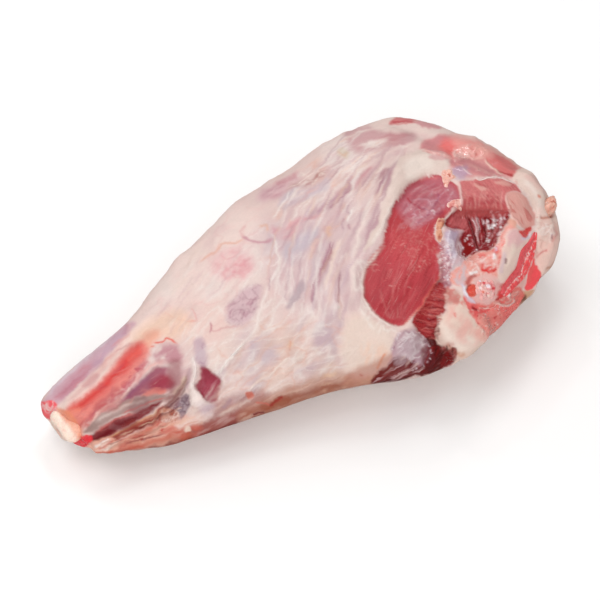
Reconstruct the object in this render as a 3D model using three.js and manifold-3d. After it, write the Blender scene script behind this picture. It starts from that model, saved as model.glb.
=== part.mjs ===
// Raw leg of lamb, bone in, lying on its outer side with the inner side up.
// Millimetres, +Z up. The shank points to -X, the rump to +X, the shin side to +Y.
// The origin is on the surface that the leg rests on, under the middle of its box.
import * as THREE from 'three';
import { mergeVertices } from 'three/addons/utils/BufferGeometryUtils.js';
import Module from 'manifold-3d';

const wasm = await Module();
wasm.setup();

// ---- driving dimensions ----
const shankEnd = -170;          // where the shank is sawn through
const rumpEnd = 192;            // furthest point of the rump
const seat = { x: -6.5, y: 8.6 }; // moves the leg over the origin
const roundness = 2.4;          // power of the sections' outline: 2 is an ellipse
const shankYaw = 24;            // degrees that the sawn end is turned from square
const yawEase = [-150, -20];    // the turn dies out between these stations
const gap = 0.3;                // between a bone and the flesh round it

// Sections from shank to rump. across and lift place the spine, half is the half width,
// top and bottom are the heights of the outline above and below the spine.
const sections = [
  { along: shankEnd, across: -15, lift: 25, half: 1, top: 1, bottom: 1 },
  { along: shankEnd, across: -15, lift: 25, half: 14, top: 10, bottom: 10 },
  { along: -167, across: -15, lift: 25, half: 27, top: 16, bottom: 16 },
  { along: -154, across: -16, lift: 25, half: 36, top: 18, bottom: 18 },
  { along: -125, across: -16, lift: 26, half: 46, top: 21, bottom: 19 },
  { along: -92, across: -14, lift: 28, half: 52, top: 27, bottom: 24 },
  { along: -57, across: -6, lift: 31, half: 64, top: 34, bottom: 30 },
  { along: -17, across: -2, lift: 35, half: 76, top: 43, bottom: 36 },
  { along: 28, across: -7, lift: 39, half: 90, top: 50, bottom: 42 },
  { along: 76, across: -7, lift: 43, half: 97, top: 56, bottom: 46 },
  { along: 120, across: -1, lift: 45, half: 90, top: 54, bottom: 46 },
  { along: 152, across: -3, lift: 44, half: 76, top: 47, bottom: 42 },
  { along: 172, across: -8, lift: 43, half: 60, top: 38, bottom: 36 },
  { along: 185, across: -7, lift: 42, half: 44, top: 26, bottom: 27 },
  { along: rumpEnd, across: -6, lift: 42, half: 1, top: 1, bottom: 1 },
];

// Ridges and grooves. Each follows a path of [along, degrees round], where 0 is the far side,
// 90 the top and 180 the near side. width is how far it spreads, height is negative in a groove.
const strokes = {
  shinRidge: { path: [[-169, 93], [-143, 81], [-117, 75], [-98, 76], [-72, 81]], width: 6, height: 3 },
  shinGroove: { path: [[-168, 69], [-133, 61], [-107, 57], [-85, 62]], width: 6, height: -2 },
  calfHollow: { path: [[-170, 128], [-150, 118], [-129, 115]], width: 7, height: -2.5 },
  calfBelly: { path: [[-136, 98], [-120, 103], [-107, 105]], width: 7, height: 2.5 },
  heelTendon: { path: [[-170, 178], [-159, 150], [-145, 141], [-132, 131]], width: 6, height: 3.5 },
  heelCrease: { path: [[-150, 160], [-132, 144], [-118, 132], [-104, 121]], width: 7, height: -4.5 },
  thighFold: { path: [[72, 70], [40, 85], [5, 98], [-15, 122]], width: 7, height: -2 },
  thighRidge: { path: [[84, 84], [55, 94], [22, 108], [5, 126]], width: 7, height: 2 },
  fatCollar: { path: [[73, 94], [86, 86], [103, 84], [119, 88]], width: 7, height: 3.5 },
  leanBelly: { path: [[84, 104], [62, 116], [36, 133]], width: 14, height: 4 },
  innerSeam: { path: [[62, 137], [53, 143], [44, 152], [40, 164]], width: 8, height: -6 },
  underSeam: { path: [[44, 170], [53, 190], [62, 200]], width: 8, height: -4 },
  gristle: { path: [[131, 139], [111, 146], [97, 149]], width: 7, height: 2.5 },
  rumpRim: { path: [[161, 106], [167, 124], [163, 145], [154, 160], [146, 171], [136, 186]], width: 8, height: 4 },
  rimNotch: { path: [[175, 139], [160, 134]], width: 6, height: -5 },
  rumpSeam: { path: [[124, 57], [132, 78], [148, 94], [158, 104]], width: 9, height: -3 },
  saddle: { path: [[120, 98], [140, 108], [150, 122]], width: 9, height: 2 },
};

// Flat hollows and pads inside a smooth closed outline through points of [along, degrees round].
// edge is how wide the slope at the outline is.
const patches = {
  bareLean: {
    outline: [[101, 94], [82, 94], [62, 100], [46, 110], [26, 115], [18, 125], [15, 135], [24, 146], [34, 147],
      [46, 141], [60, 136], [67, 130], [80, 122], [99, 111]],
    edge: 9, height: -4,
  },
  shankLean: {
    outline: [[-95, 117], [-91, 127], [-92, 141], [-106, 147], [-110, 135], [-103, 122]],
    edge: 8, height: -2.5,
  },
  hipPit: {
    outline: [[93, 114], [107, 116], [123, 120], [131, 127], [119, 134], [103, 137], [89, 134], [84, 127], [91, 119]],
    edge: 13, height: -6,
  },
  fatPad: {
    outline: [[49, 158], [62, 151], [76, 158], [88, 176], [84, 196], [64, 196], [54, 176]],
    edge: 9, height: 4,
  },
};

const pitFloor = { path: [[107, 119], [101, 125], [95, 133]], width: 6, height: -2 };

// Shank bone: sawn at the knuckle, its shaft runs up to the knee end.
const shankBone = {
  knuckle: new THREE.Vector3(-177.5, -10.5, 23.5),  // middle of the end that shows
  knee: new THREE.Vector3(-24, 4, 47),
  profile: [[0, 0], [6, 0.5], [9.6, 2.6], [11, 6], [10.6, 14], [7.4, 32], [6.6, 60], [6.8, 100], [9, 130],
    [13, 145], [13.5, 152], [10, 158], [0, 161]],
  sides: 16,
};

// Hip bone: a plate sawn along its edge, which shows on the rump, with a knob at its lower end.
const hipBone = {
  edgePath: [[150, 146], [132, 153], [119, 158], [98, 162]],
  edgeShare: 0.96,  // of the path's length that the plate takes up
  thickness: 11,
  depth: 46,
  proud: 2.4,
  squareness: 5,
  knobAt: [91, 154],
  knobRadius: 10.5,
  knobDepth: 6.5,
};

// Loose end of the fat rim, which points out over the rump.
const flap = { at: [167, 134], size: [11, 9, 4.5], rise: 2.5, lean: -8 };

// ---- resolution ----
const rows = 72;
const columns = 64;
const denseSide = 125;   // degrees round where the columns lie closest
const denseShare = 0.42; // 0 is even spacing
const outlineSteps = 6;  // points of a patch's outline for each of its corners

// ---- the bare form ----
const radians = THREE.MathUtils.degToRad;
const smooth = (low, high, x) => THREE.MathUtils.smoothstep(x, low, high);

function curveThrough(points) {
  return new THREE.CatmullRomCurve3(points, false, 'catmullrom', 0.5);
}

const spine = curveThrough(sections.map((s) => new THREE.Vector3(s.along, s.across, s.lift)));
const girth = curveThrough(sections.map((s) => new THREE.Vector3(s.half, s.top, s.bottom)));

// Point of the bare form at curve parameter t and angle round (radians). The outline is the
// superellipse |cos|^n + |sin|^n = 1, cut off level at the resting surface.
function formPoint(t, round) {
  const centre = spine.getPoint(t);
  const size = girth.getPoint(t);
  const c = Math.cos(round);
  const s = Math.sin(round);
  const reach = (Math.abs(c) ** roundness + Math.abs(s) ** roundness) ** (-1 / roundness);
  const yaw = radians(shankYaw) * (1 - smooth(yawEase[0], yawEase[1], centre.x));
  const aside = reach * c * size.x;
  const height = centre.z + reach * s * (s > 0 ? size.y : size.z);
  return new THREE.Vector3(
    centre.x - Math.sin(yaw) * aside + seat.x,
    centre.y + Math.cos(yaw) * aside + seat.y,
    Math.max(height, 0),
  );
}

// Curve parameter of the station at a given distance along the leg, by halving.
function stationAt(along) {
  let low = 0;
  let high = 1;
  for (let step = 0; step < 40; step += 1) {
    const middle = (low + high) / 2;
    if (spine.getPoint(middle).x < along) low = middle;
    else high = middle;
  }
  return high;
}

function surfacePoint([along, degrees]) {
  return formPoint(stationAt(along), radians(degrees));
}

function surfaceNormal([along, degrees]) {
  const step = 2;
  const ahead = surfacePoint([along + step, degrees]).sub(surfacePoint([along - step, degrees]));
  const around = surfacePoint([along, degrees + step]).sub(surfacePoint([along, degrees - step]));
  return ahead.cross(around).normalize().negate();
}

// ---- relief ----
function distanceToPath(point, path) {
  const line = new THREE.Line3();
  const nearest = new THREE.Vector3();
  let best = Infinity;
  for (let i = 0; i + 1 < path.length; i += 1) {
    line.set(path[i], path[i + 1]).closestPointToPoint(point, true, nearest);
    best = Math.min(best, nearest.distanceTo(point));
  }
  return best;
}

function isInside([x, y], outline) {
  let inside = false;
  outline.forEach(([ax, ay], i) => {
    const [bx, by] = outline[(i + 1) % outline.length];
    if ((ay > y) !== (by > y) && x < ax + ((y - ay) * (bx - ax)) / (by - ay)) inside = !inside;
  });
  return inside;
}

const strokeLines = [...Object.values(strokes), pitFloor].map((stroke) => ({
  ...stroke, line: stroke.path.map(surfacePoint),
}));

// Points along the smooth closed curve through an outline.
function roundedOutline(outline) {
  const corners = outline.map(([along, degrees]) => new THREE.Vector3(along, degrees, 0));
  const curve = new THREE.CatmullRomCurve3(corners, true, 'catmullrom', 0.5);
  return curve.getPoints(outlineSteps * outline.length).map((point) => [point.x, point.y]);
}

const patchLines = Object.values(patches).map((patch) => {
  const outline = roundedOutline(patch.outline);
  return { ...patch, outline, line: outline.map(surfacePoint) };
});

// How far the surface moves out at a point: bell-shaped across each stroke, and a
// smooth step across the edge of each patch.
function relief(point, place) {
  let height = 0;
  for (const { line, width, height: tall } of strokeLines) {
    height += tall * Math.exp(-((distanceToPath(point, line) / width) ** 2));
  }
  for (const { line, outline, edge, height: tall } of patchLines) {
    const away = distanceToPath(point, line) * (isInside(place, outline) ? 1 : -1);
    height += tall * smooth(-edge / 2, edge / 2, away);
  }
  return height;
}

// ---- solids ----
function toSolid(geometry) {
  const bare = geometry.clone();
  bare.deleteAttribute('normal');
  bare.deleteAttribute('uv');
  const merged = mergeVertices(bare, 1e-4);
  return new wasm.Manifold(new wasm.Mesh({
    numProp: 3,
    vertProperties: new Float32Array(merged.attributes.position.array),
    triVerts: new Uint32Array(merged.index.array),
  }));
}

function toGeometry(solid) {
  const { vertProperties, triVerts } = solid.getMesh();
  const geometry = new THREE.BufferGeometry();
  geometry.setAttribute('position', new THREE.BufferAttribute(new Float32Array(vertProperties), 3));
  geometry.setIndex(new THREE.BufferAttribute(new Uint32Array(triVerts), 1));
  geometry.computeVertexNormals();
  return geometry;
}

// Row parameters that share out the travel along the spine and of the half width evenly.
function evenRows(count) {
  const samples = 2000;
  const travel = [0];
  for (let i = 1; i <= samples; i += 1) {
    const a = i / samples;
    const b = (i - 1) / samples;
    const along = spine.getPoint(a).x - spine.getPoint(b).x;
    const wide = girth.getPoint(a).x - girth.getPoint(b).x;
    travel.push(travel[i - 1] + Math.hypot(along, wide));
  }
  const rowStations = [0];
  for (let row = 1; row + 1 < count; row += 1) {
    const target = (travel[samples] * row) / (count - 1);
    rowStations.push(travel.findIndex((value) => value >= target) / samples);
  }
  return [...rowStations, 1];
}

function columnAngle(column) {
  const even = (2 * Math.PI * column) / columns;
  const centre = radians(denseSide);
  return even - denseShare * Math.sin(even - centre);
}

// The flesh: a grid of rows and columns over the form, moved out by the relief and
// closed by a fan at each end.
function fleshGeometry() {
  const stations = evenRows(rows);
  const grid = stations.map((t) => (
    Array.from({ length: columns }, (_, column) => formPoint(t, columnAngle(column)))
  ));
  const positions = [];
  grid.forEach((ring, row) => {
    const along = spine.getPoint(stations[row]).x;
    ring.forEach((point, column) => {
      const before = grid[Math.max(row - 1, 0)][column];
      const after = grid[Math.min(row + 1, rows - 1)][column];
      const left = ring[(column + columns - 1) % columns];
      const right = ring[(column + 1) % columns];
      const normal = after.clone().sub(before).cross(right.clone().sub(left)).normalize().negate();
      const degrees = (THREE.MathUtils.radToDeg(columnAngle(column)) + 360) % 360;
      const moved = point.clone().addScaledVector(normal, relief(point, [along, degrees]));
      positions.push(moved.x, moved.y, Math.max(moved.z, 0));
    });
  });
  const indices = [];
  const vertexAt = (row, column) => row * columns + (column % columns);
  const cornerAt = (index) => new THREE.Vector3().fromArray(positions, 3 * index);
  for (let row = 0; row + 1 < rows; row += 1) {
    for (let column = 0; column < columns; column += 1) {
      const a = vertexAt(row, column);
      const b = vertexAt(row, column + 1);
      const c = vertexAt(row + 1, column + 1);
      const d = vertexAt(row + 1, column);
      const acrossAC = cornerAt(a).distanceTo(cornerAt(c));
      const acrossBD = cornerAt(b).distanceTo(cornerAt(d));
      if (acrossAC < acrossBD) indices.push(a, b, c, a, c, d);
      else indices.push(a, b, d, b, c, d);
    }
  }
  for (const row of [0, rows - 1]) {
    const centre = new THREE.Vector3();
    grid[row].forEach((point) => centre.add(point));
    centre.divideScalar(columns);
    const tip = positions.length / 3;
    positions.push(centre.x, centre.y, centre.z);
    for (let column = 0; column < columns; column += 1) {
      const a = vertexAt(row, column);
      const b = vertexAt(row, column + 1);
      if (row === 0) indices.push(tip, b, a);
      else indices.push(tip, a, b);
    }
  }
  const geometry = new THREE.BufferGeometry();
  geometry.setAttribute('position', new THREE.Float32BufferAttribute(positions, 3));
  geometry.setIndex(indices);
  return geometry;
}

// The loose end of fat: a flattened ball that leans out from the rim.
function flapGeometry() {
  const geometry = new THREE.SphereGeometry(1, 14, 9);
  geometry.scale(...flap.size);
  geometry.rotateY(-radians(flap.lean));
  const centre = surfacePoint(flap.at).addScaledVector(surfaceNormal(flap.at), flap.rise);
  geometry.translate(centre.x, centre.y, centre.z);
  return geometry;
}

// A turned bone from the knuckle to the knee, grown by extra on every side.
function shankBoneGeometry(extra) {
  const profile = shankBone.profile.map(([radius, height], i, list) => {
    const grown = radius === 0 ? 0 : radius + extra;
    const isEnd = i === 0 || i === list.length - 1;
    const push = i < list.length / 2 ? -extra : extra;
    return new THREE.Vector2(grown, height + (isEnd || radius < 9 ? push : 0));
  });
  const geometry = new THREE.LatheGeometry(profile, shankBone.sides);
  const axis = shankBone.knee.clone().sub(shankBone.knuckle).normalize();
  const turn = new THREE.Quaternion().setFromUnitVectors(new THREE.Vector3(0, 1, 0), axis);
  geometry.applyQuaternion(turn);
  const start = shankBone.knuckle.clone().add(new THREE.Vector3(seat.x, seat.y, 0));
  geometry.translate(start.x, start.y, start.z);
  return geometry;
}

// A plate that follows edgePath on the surface and runs inward: a box with its corners drawn in
// by dividing each point by (|x|^m + |y|^m + |z|^m)^(1/m), with x along the path, y inward and
// z across the plate.
function hipPlateGeometry(extra) {
  const { edgePath, edgeShare, thickness, depth, proud, squareness } = hipBone;
  const path = curveThrough(edgePath.map(surfacePoint));
  const reach = edgeShare / 2 + extra / path.getLength();
  const inward = surfaceNormal(edgePath[1]).negate();
  const geometry = new THREE.BoxGeometry(2, 2, 2, 12, 5, 3);
  const position = geometry.attributes.position;
  const corner = new THREE.Vector3();
  for (let i = 0; i < position.count; i += 1) {
    corner.fromBufferAttribute(position, i);
    const power = corner.toArray().reduce((sum, value) => sum + Math.abs(value) ** squareness, 0);
    corner.divideScalar(power ** (1 / squareness));
    const share = 0.5 + corner.x * reach;
    const deep = (1 + corner.y) * (depth / 2 + extra) - proud - extra;
    const sideways = path.getTangent(share).cross(inward).normalize();
    const moved = path.getPoint(share).addScaledVector(inward, deep);
    moved.addScaledVector(sideways, corner.z * (thickness / 2 + extra));
    position.setXYZ(i, moved.x, moved.y, moved.z);
  }
  return geometry;
}

function hipBoneSolid(extra) {
  const knob = new THREE.SphereGeometry(hipBone.knobRadius + extra, 14, 9);
  const centre = surfacePoint(hipBone.knobAt);
  centre.addScaledVector(surfaceNormal(hipBone.knobAt), -hipBone.knobDepth);
  knob.translate(centre.x, centre.y, centre.z);
  return toSolid(hipPlateGeometry(extra)).add(toSolid(knob));
}

// ---- the leg ----
const flesh = new THREE.MeshStandardMaterial({ color: '#d8a7a2', roughness: 0.38, metalness: 0 });
const sawnBone = new THREE.MeshStandardMaterial({ color: '#e8d3bf', roughness: 0.5, metalness: 0 });

function part(name, solid, material) {
  const mesh = new THREE.Mesh(toGeometry(solid), material);
  mesh.name = name;
  return mesh;
}

const meat = toSolid(fleshGeometry())
  .add(toSolid(flapGeometry()))
  .subtract(toSolid(shankBoneGeometry(gap)))
  .subtract(hipBoneSolid(gap));

const leg = new THREE.Group();
leg.add(
  part('meat', meat, flesh),
  part('shank_bone', toSolid(shankBoneGeometry(0)), sawnBone),
  part('hip_bone', hipBoneSolid(0), sawnBone),
);

export default leg;
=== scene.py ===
import bmesh
import bpy
import numpy as np
from mathutils import Matrix, Vector


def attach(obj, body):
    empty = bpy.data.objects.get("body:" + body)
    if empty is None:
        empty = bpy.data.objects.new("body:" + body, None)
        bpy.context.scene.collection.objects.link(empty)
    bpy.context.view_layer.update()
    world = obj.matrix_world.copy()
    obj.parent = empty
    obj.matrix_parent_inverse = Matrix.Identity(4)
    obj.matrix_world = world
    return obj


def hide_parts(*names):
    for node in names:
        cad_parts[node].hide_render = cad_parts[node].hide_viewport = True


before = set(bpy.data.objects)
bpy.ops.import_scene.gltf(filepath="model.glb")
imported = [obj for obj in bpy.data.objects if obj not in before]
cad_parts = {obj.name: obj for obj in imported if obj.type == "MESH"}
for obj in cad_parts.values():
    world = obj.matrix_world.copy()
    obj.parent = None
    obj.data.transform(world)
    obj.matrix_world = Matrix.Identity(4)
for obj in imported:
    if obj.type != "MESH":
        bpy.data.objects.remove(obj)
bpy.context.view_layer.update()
millimetre = 0.001
print("frame loaded")


# small tools
def smoothstep(low, high, x):
    # 3s^2 - 2s^3 with s running from 0 at low to 1 at high
    s = np.clip((x - low) / (high - low), 0, 1)
    return s * s * (3 - 2 * s)


def mixed(a, b, share):
    return a + (b - a) * share


def channels(colour):
    # red, green and blue from 0 to 255 of a colour written as 0xrrggbb
    return np.array([colour >> 16, colour >> 8 & 255, colour & 255])


def linearColour(colour):
    # screen colour to linear light: ((c + 0.055) / 1.055)^2.4
    c = channels(colour) / 255
    return np.where(c > 0.04045, ((c + 0.055) / 1.055) ** 2.4, c / 12.92)


def curveThrough(points, t, closed=False):
    # uniform Catmull-Rom curve through the points at shares t of its length in points
    points = np.asarray(points, float)
    count = len(points)
    if closed:
        padded = np.concatenate([points[-1:], points, points[:2]])
        spans = count
    else:
        first = 2 * points[:1] - points[1:2]
        last = 2 * points[-1:] - points[-2:-1]
        padded = np.concatenate([first, points, last])
        spans = count - 1
    place = np.clip(np.asarray(t, float) * spans, 0, spans - 1e-9)
    index = place.astype(int)
    f = (place - index)[..., None]
    p0, p1, p2, p3 = (padded[index + k] for k in range(4))
    return 0.5 * (2 * p1 + (p2 - p0) * f + (2 * p0 - 5 * p1 + 4 * p2 - p3) * f ** 2
                  + (3 * p1 - p0 - 3 * p2 + p3) * f ** 3)


def latticeValue(cell, seed):
    # a repeatable number from 0 to 1 for each whole-number cell, by mixing its bits
    h = np.full(cell.shape[:-1], (seed * 2654435761) & 0xffffffff, np.uint32)
    for k, prime in zip(range(cell.shape[-1]), (374761393, 668265263, 2147483647)):
        h ^= cell[..., k].astype(np.int64).astype(np.uint32) * np.uint32(prime)
        h = (h ^ (h >> np.uint32(15))) * np.uint32(2246822519)
        h ^= h >> np.uint32(13)
    return h.astype(float) / 4294967295


def noise(points, size, seed, octaves=1):
    # value noise from -1 to 1: random lattice values joined smoothly, octaves halve in size and height
    points = np.asarray(points, float)
    total = 0
    weight = 0
    for octave in range(octaves):
        scaled = points / size * 2 ** octave + 31.7 * octave
        cell = np.floor(scaled)
        f = scaled - cell
        f = f * f * (3 - 2 * f)
        value = 0
        for corner in range(2 ** points.shape[-1]):
            step = np.array([(corner >> k) & 1 for k in range(points.shape[-1])])
            share = np.prod(np.where(step, f, 1 - f), axis=-1)
            value = value + share * latticeValue((cell + step).astype(np.int64), seed + octave)
        total = total + (2 * value - 1) / 2 ** octave
        weight += 0.5 ** octave
    return total / weight


def unit(v):
    return v / (np.linalg.norm(v, axis=-1, keepdims=True) + 1e-12)


# the camera, and where a point of the leg lies in its picture
viewCamera = {
    "azimuth": -33,        # degrees round from -Y
    "elevation": 45,
    "distance": 1092,      # mm from the aim
    "aim": (-5.5, -4.4, 43),
    "lens": 100,
    "sensor": 36,
    "pictureSide": 600,    # pixels
}


def cameraAxes():
    a = np.radians(viewCamera["azimuth"])
    e = np.radians(viewCamera["elevation"])
    back = np.array([np.sin(a) * np.cos(e), -np.cos(a) * np.cos(e), np.sin(e)])
    right = np.array([np.cos(a), np.sin(a), 0.0])
    return right, np.cross(back, right), back


def pictureOf(points):
    # perspective: picture middle + focal length times sideways distance over depth
    right, up, back = cameraAxes()
    focal = viewCamera["pictureSide"] * viewCamera["lens"] / viewCamera["sensor"]
    middle = viewCamera["pictureSide"] / 2
    q = points - (np.array(viewCamera["aim"]) + back * viewCamera["distance"])
    depth = -(q @ back)
    return np.stack([middle + focal * (q @ right) / depth, middle - focal * (q @ up) / depth], -1)


def facing(points, normals):
    back = cameraAxes()[2]
    eye = np.array(viewCamera["aim"]) + back * viewCamera["distance"]
    return (unit(eye - points) * normals).sum(-1)


# the bare form of the leg
legForm = {
    "seat": (-6.5, 8.6),
    "roundness": 2.4,
    "shankYaw": 24,
    "yawEase": (-150, -20),
    # along, across, lift, half width, top, bottom
    "sections": [
        (-170, -15, 25, 1, 1, 1), (-170, -15, 25, 14, 10, 10), (-167, -15, 25, 27, 16, 16),
        (-154, -16, 25, 36, 18, 18), (-125, -16, 26, 46, 21, 19), (-92, -14, 28, 52, 27, 24),
        (-57, -6, 31, 64, 34, 30), (-17, -2, 35, 76, 43, 36), (28, -7, 39, 90, 50, 42),
        (76, -7, 43, 97, 56, 46), (120, -1, 45, 90, 54, 46), (152, -3, 44, 76, 47, 42),
        (172, -8, 43, 60, 38, 36), (185, -7, 42, 44, 26, 27), (192, -6, 42, 1, 1, 1),
    ],
    # path of along and degrees round, width and height in mm
    "strokes": [
        ([(-169, 93), (-143, 81), (-117, 75), (-98, 76), (-72, 81)], 6, 3),
        ([(-168, 69), (-133, 61), (-107, 57), (-85, 62)], 6, -2),
        ([(-170, 128), (-150, 118), (-129, 115)], 7, -2.5),
        ([(-136, 98), (-120, 103), (-107, 105)], 7, 2.5),
        ([(-170, 178), (-159, 150), (-145, 141), (-132, 131)], 6, 3.5),
        ([(-150, 160), (-132, 144), (-118, 132), (-104, 121)], 7, -4.5),
        ([(72, 70), (40, 85), (5, 98), (-15, 122)], 7, -2),
        ([(84, 84), (55, 94), (22, 108), (5, 126)], 7, 2),
        ([(73, 94), (86, 86), (103, 84), (119, 88)], 7, 3.5),
        ([(84, 104), (62, 116), (36, 133)], 14, 4),
        ([(62, 137), (53, 143), (44, 152), (40, 164)], 8, -6),
        ([(44, 170), (53, 190), (62, 200)], 8, -4),
        ([(131, 139), (111, 146), (97, 149)], 7, 2.5),
        ([(161, 106), (167, 124), (163, 145), (154, 160), (146, 171), (136, 186)], 8, 4),
        ([(175, 139), (160, 134)], 8, -5),
        ([(124, 57), (132, 78), (148, 94), (158, 104)], 9, -3),
        ([(120, 98), (140, 108), (150, 122)], 9, 2),
        ([(107, 119), (101, 125), (95, 133)], 6, -2),
    ],
    # outline of along and degrees round, edge and height in mm
    "patches": [
        ([(101, 94), (82, 94), (62, 100), (46, 110), (26, 115), (18, 125), (15, 135), (24, 146), (34, 147),
          (46, 141), (60, 136), (67, 130), (80, 122), (99, 111)], 8, -4),
        ([(-95, 117), (-91, 127), (-92, 141), (-106, 147), (-110, 135), (-103, 122)], 8, -2.5),
        ([(93, 114), (107, 116), (123, 120), (131, 127), (119, 134), (103, 137), (89, 134), (84, 127),
          (91, 119)], 13, -6),
        ([(49, 158), (62, 151), (76, 158), (88, 176), (84, 196), (64, 196), (54, 176)], 9, 4),
    ],
    "partEnds": {"shankFlesh": -60, "thighFlesh": 70, "rumpFlesh": 192},
    "samples": 4001,       # of the curves through the sections
    "rows": 250,           # of each part, which shares its end row with the next part
    "farEnd": 168,         # past here, within farEase, the rows lie further apart by 1 / farShare
    "farEase": 10,
    "farShare": 0.4,
    "columns": 396,
    "fineSide": 130,       # degrees round where the columns lie closest
    "coarseShare": 0.36,   # columns on the other side, against the fine side
}


def spineAndGirth(t):
    sections = np.array(legForm["sections"])
    return curveThrough(sections[:, :3], t), curveThrough(sections[:, 3:], t)


def stationOf(along):
    # the share of the sections' curve at which it has come this far along the leg
    table = np.linspace(0, 1, legForm["samples"])
    return np.interp(along, spineAndGirth(table)[0][:, 0], table)


def formPoints(t, turn):
    # superellipse |cos|^n + |sin|^n = 1 round the spine, turned by the yaw and cut off level at the floor
    spine, girth = spineAndGirth(t)
    c = np.cos(turn)
    s = np.sin(turn)
    n = legForm["roundness"]
    reach = (np.abs(c) ** n + np.abs(s) ** n) ** (-1 / n)
    yaw = np.radians(legForm["shankYaw"]) * (1 - smoothstep(*legForm["yawEase"], spine[..., 0]))
    aside = reach * c * girth[..., 0]
    height = spine[..., 2] + reach * s * np.where(s > 0, girth[..., 1], girth[..., 2])
    x = spine[..., 0] - np.sin(yaw) * aside + legForm["seat"][0]
    y = spine[..., 1] + np.cos(yaw) * aside + legForm["seat"][1]
    return np.stack([x, y, np.maximum(height, 0)], -1)


def placesOn(path):
    path = np.asarray(path, float)
    return formPoints(stationOf(path[:, 0]), np.radians(path[:, 1]))


def distanceTo(points, path):
    # distance to the nearest of the path's straight spans, and the share of the path passed there
    best = np.full(len(points), 1e9)
    share = np.zeros(len(points))
    spans = len(path) - 1
    for k in range(spans):
        a = path[k]
        ab = path[k + 1] - a
        f = np.clip(((points - a) @ ab) / (ab @ ab + 1e-12), 0, 1)
        d = np.linalg.norm(points - a - f[:, None] * ab, axis=1)
        nearer = d < best
        best = np.where(nearer, d, best)
        share = np.where(nearer, (k + f) / spans, share)
    return best, share


def insideOf(points, outline):
    # a point is inside where a line from it crosses the outline an odd number of times
    inside = np.zeros(len(points), bool)
    x = points[:, 0]
    y = points[:, 1]
    for k in range(len(outline)):
        ax, ay = outline[k]
        bx, by = outline[k - 1]
        crosses = (ay > y) != (by > y)
        inside ^= crosses & (x < ax + (y - ay) * (bx - ax) / (by - ay + 1e-12))
    return inside


def gridNormals(grid):
    # across the rows times along the columns, turned outwards
    ahead = np.empty_like(grid)
    ahead[1:-1] = grid[2:] - grid[:-2]
    ahead[0] = grid[1] - grid[0]
    ahead[-1] = grid[-1] - grid[-2]
    around = np.roll(grid, -1, 1) - np.roll(grid, 1, 1)
    return -unit(np.cross(ahead, around))


def makeLegGrid():
    # rows even along the surface and columns that lie closer on the fine side, raised by strokes and patches:
    # height * exp(-(distance / width)^2) round a path, and a smooth step of the height across an outline
    samples = np.linspace(0, 1, legForm["samples"])
    spine, girth = spineAndGirth(samples)
    step = np.hypot(np.diff(spine[:, 0]), np.diff(girth[:, 0]))
    far = smoothstep(legForm["farEnd"], legForm["farEnd"] + legForm["farEase"], spine[1:, 0])
    step = step * mixed(1, legForm["farShare"], far)
    travel = np.concatenate([[0], np.cumsum(step)])
    t = [0.0]
    for partEnd in legForm["partEnds"].values():
        begin, end = np.interp([t[-1], stationOf(partEnd)], samples, travel)
        t += np.interp(np.linspace(begin, end, legForm["rows"])[1:], travel, samples).tolist()
    t = np.array(t)
    degrees = np.linspace(0, 360, 3601)
    near = np.cos(np.radians(degrees - legForm["fineSide"]))
    weight = mixed(legForm["coarseShare"], 1, smoothstep(-0.35, 0.1, near))
    running = np.concatenate([[0], np.cumsum((weight[1:] + weight[:-1]) / 2)])
    even = np.linspace(0, running[-1], legForm["columns"], endpoint=False)
    columnDegrees = np.interp(even, running, degrees)
    grid = formPoints(t[:, None], np.radians(columnDegrees)[None])
    along = np.interp(t, samples, spine[:, 0])
    place = np.stack([np.broadcast_to(along[:, None], grid.shape[:2]),
                      np.broadcast_to(columnDegrees[None], grid.shape[:2])], -1)
    normals = gridNormals(grid)
    flat = grid.reshape(-1, 3)
    flatPlace = place.reshape(-1, 2)
    height = np.zeros(len(flat))
    for path, width, tall in legForm["strokes"]:
        away = distanceTo(flat, placesOn(path))[0]
        height += tall * np.exp(-(away / width) ** 2)
    for outline, edge, tall in legForm["patches"]:
        rim = curveThrough(outline, np.linspace(0, 1, 6 * len(outline) + 1), closed=True)
        away = distanceTo(flat, placesOn(rim))[0]
        away = np.where(insideOf(flatPlace, rim[:-1]), away, -away)
        height += tall * smoothstep(-edge / 2, edge / 2, away)
    grid = grid + normals * height.reshape(grid.shape[:2])[..., None]
    grid[..., 2] = np.maximum(grid[..., 2], 0)
    return grid


# Marks of colour and relief, laid out in the camera's picture as x, y, x, y in pixels. Each has a tint,
# written as 0xrrggbb, and the share of it that covers; lift is the mm that it stands out, lean and wet run
# from 0 to 1, and grain gives the degrees of its fibres. mottle (along, across, degrees, low, high) breaks it
# up with streaky noise, from none at low to all at high, and web (along, across, degrees, power) leaves thin
# threads where such a noise passes zero. fan makes either follow the thigh, and ragged is how far the edge
# wanders.
cream = 0xf0d9ce
paleFat = 0xecd1ca
whiteFat = 0xf3e2db
ochreFat = 0xe6be9e
washedMauve = 0xd6b8bc
washedPink = 0xd6b6b8


def pairs(numbers):
    return np.reshape(numbers, (-1, 2))


def area(spots, tint, soft, share, **more):
    # a mark inside a smooth closed outline, which takes soft pixels to fade out
    return {"edge": spots, "tint": tint, "soft": soft, "share": share, **more}


def line(spots, tint, width, share, **more):
    # a mark along a smooth open line, with its half width in pixels
    return {"path": pairs(spots), "tint": tint, "width": width, "share": share, **more}


def filled(marks):
    # "same" stands for the outline of the mark before it
    for number, mark in enumerate(marks):
        if "edge" in mark:
            mark["edge"] = marks[number - 1]["edge"] if mark["edge"] == "same" else pairs(mark["edge"])
    return marks


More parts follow.
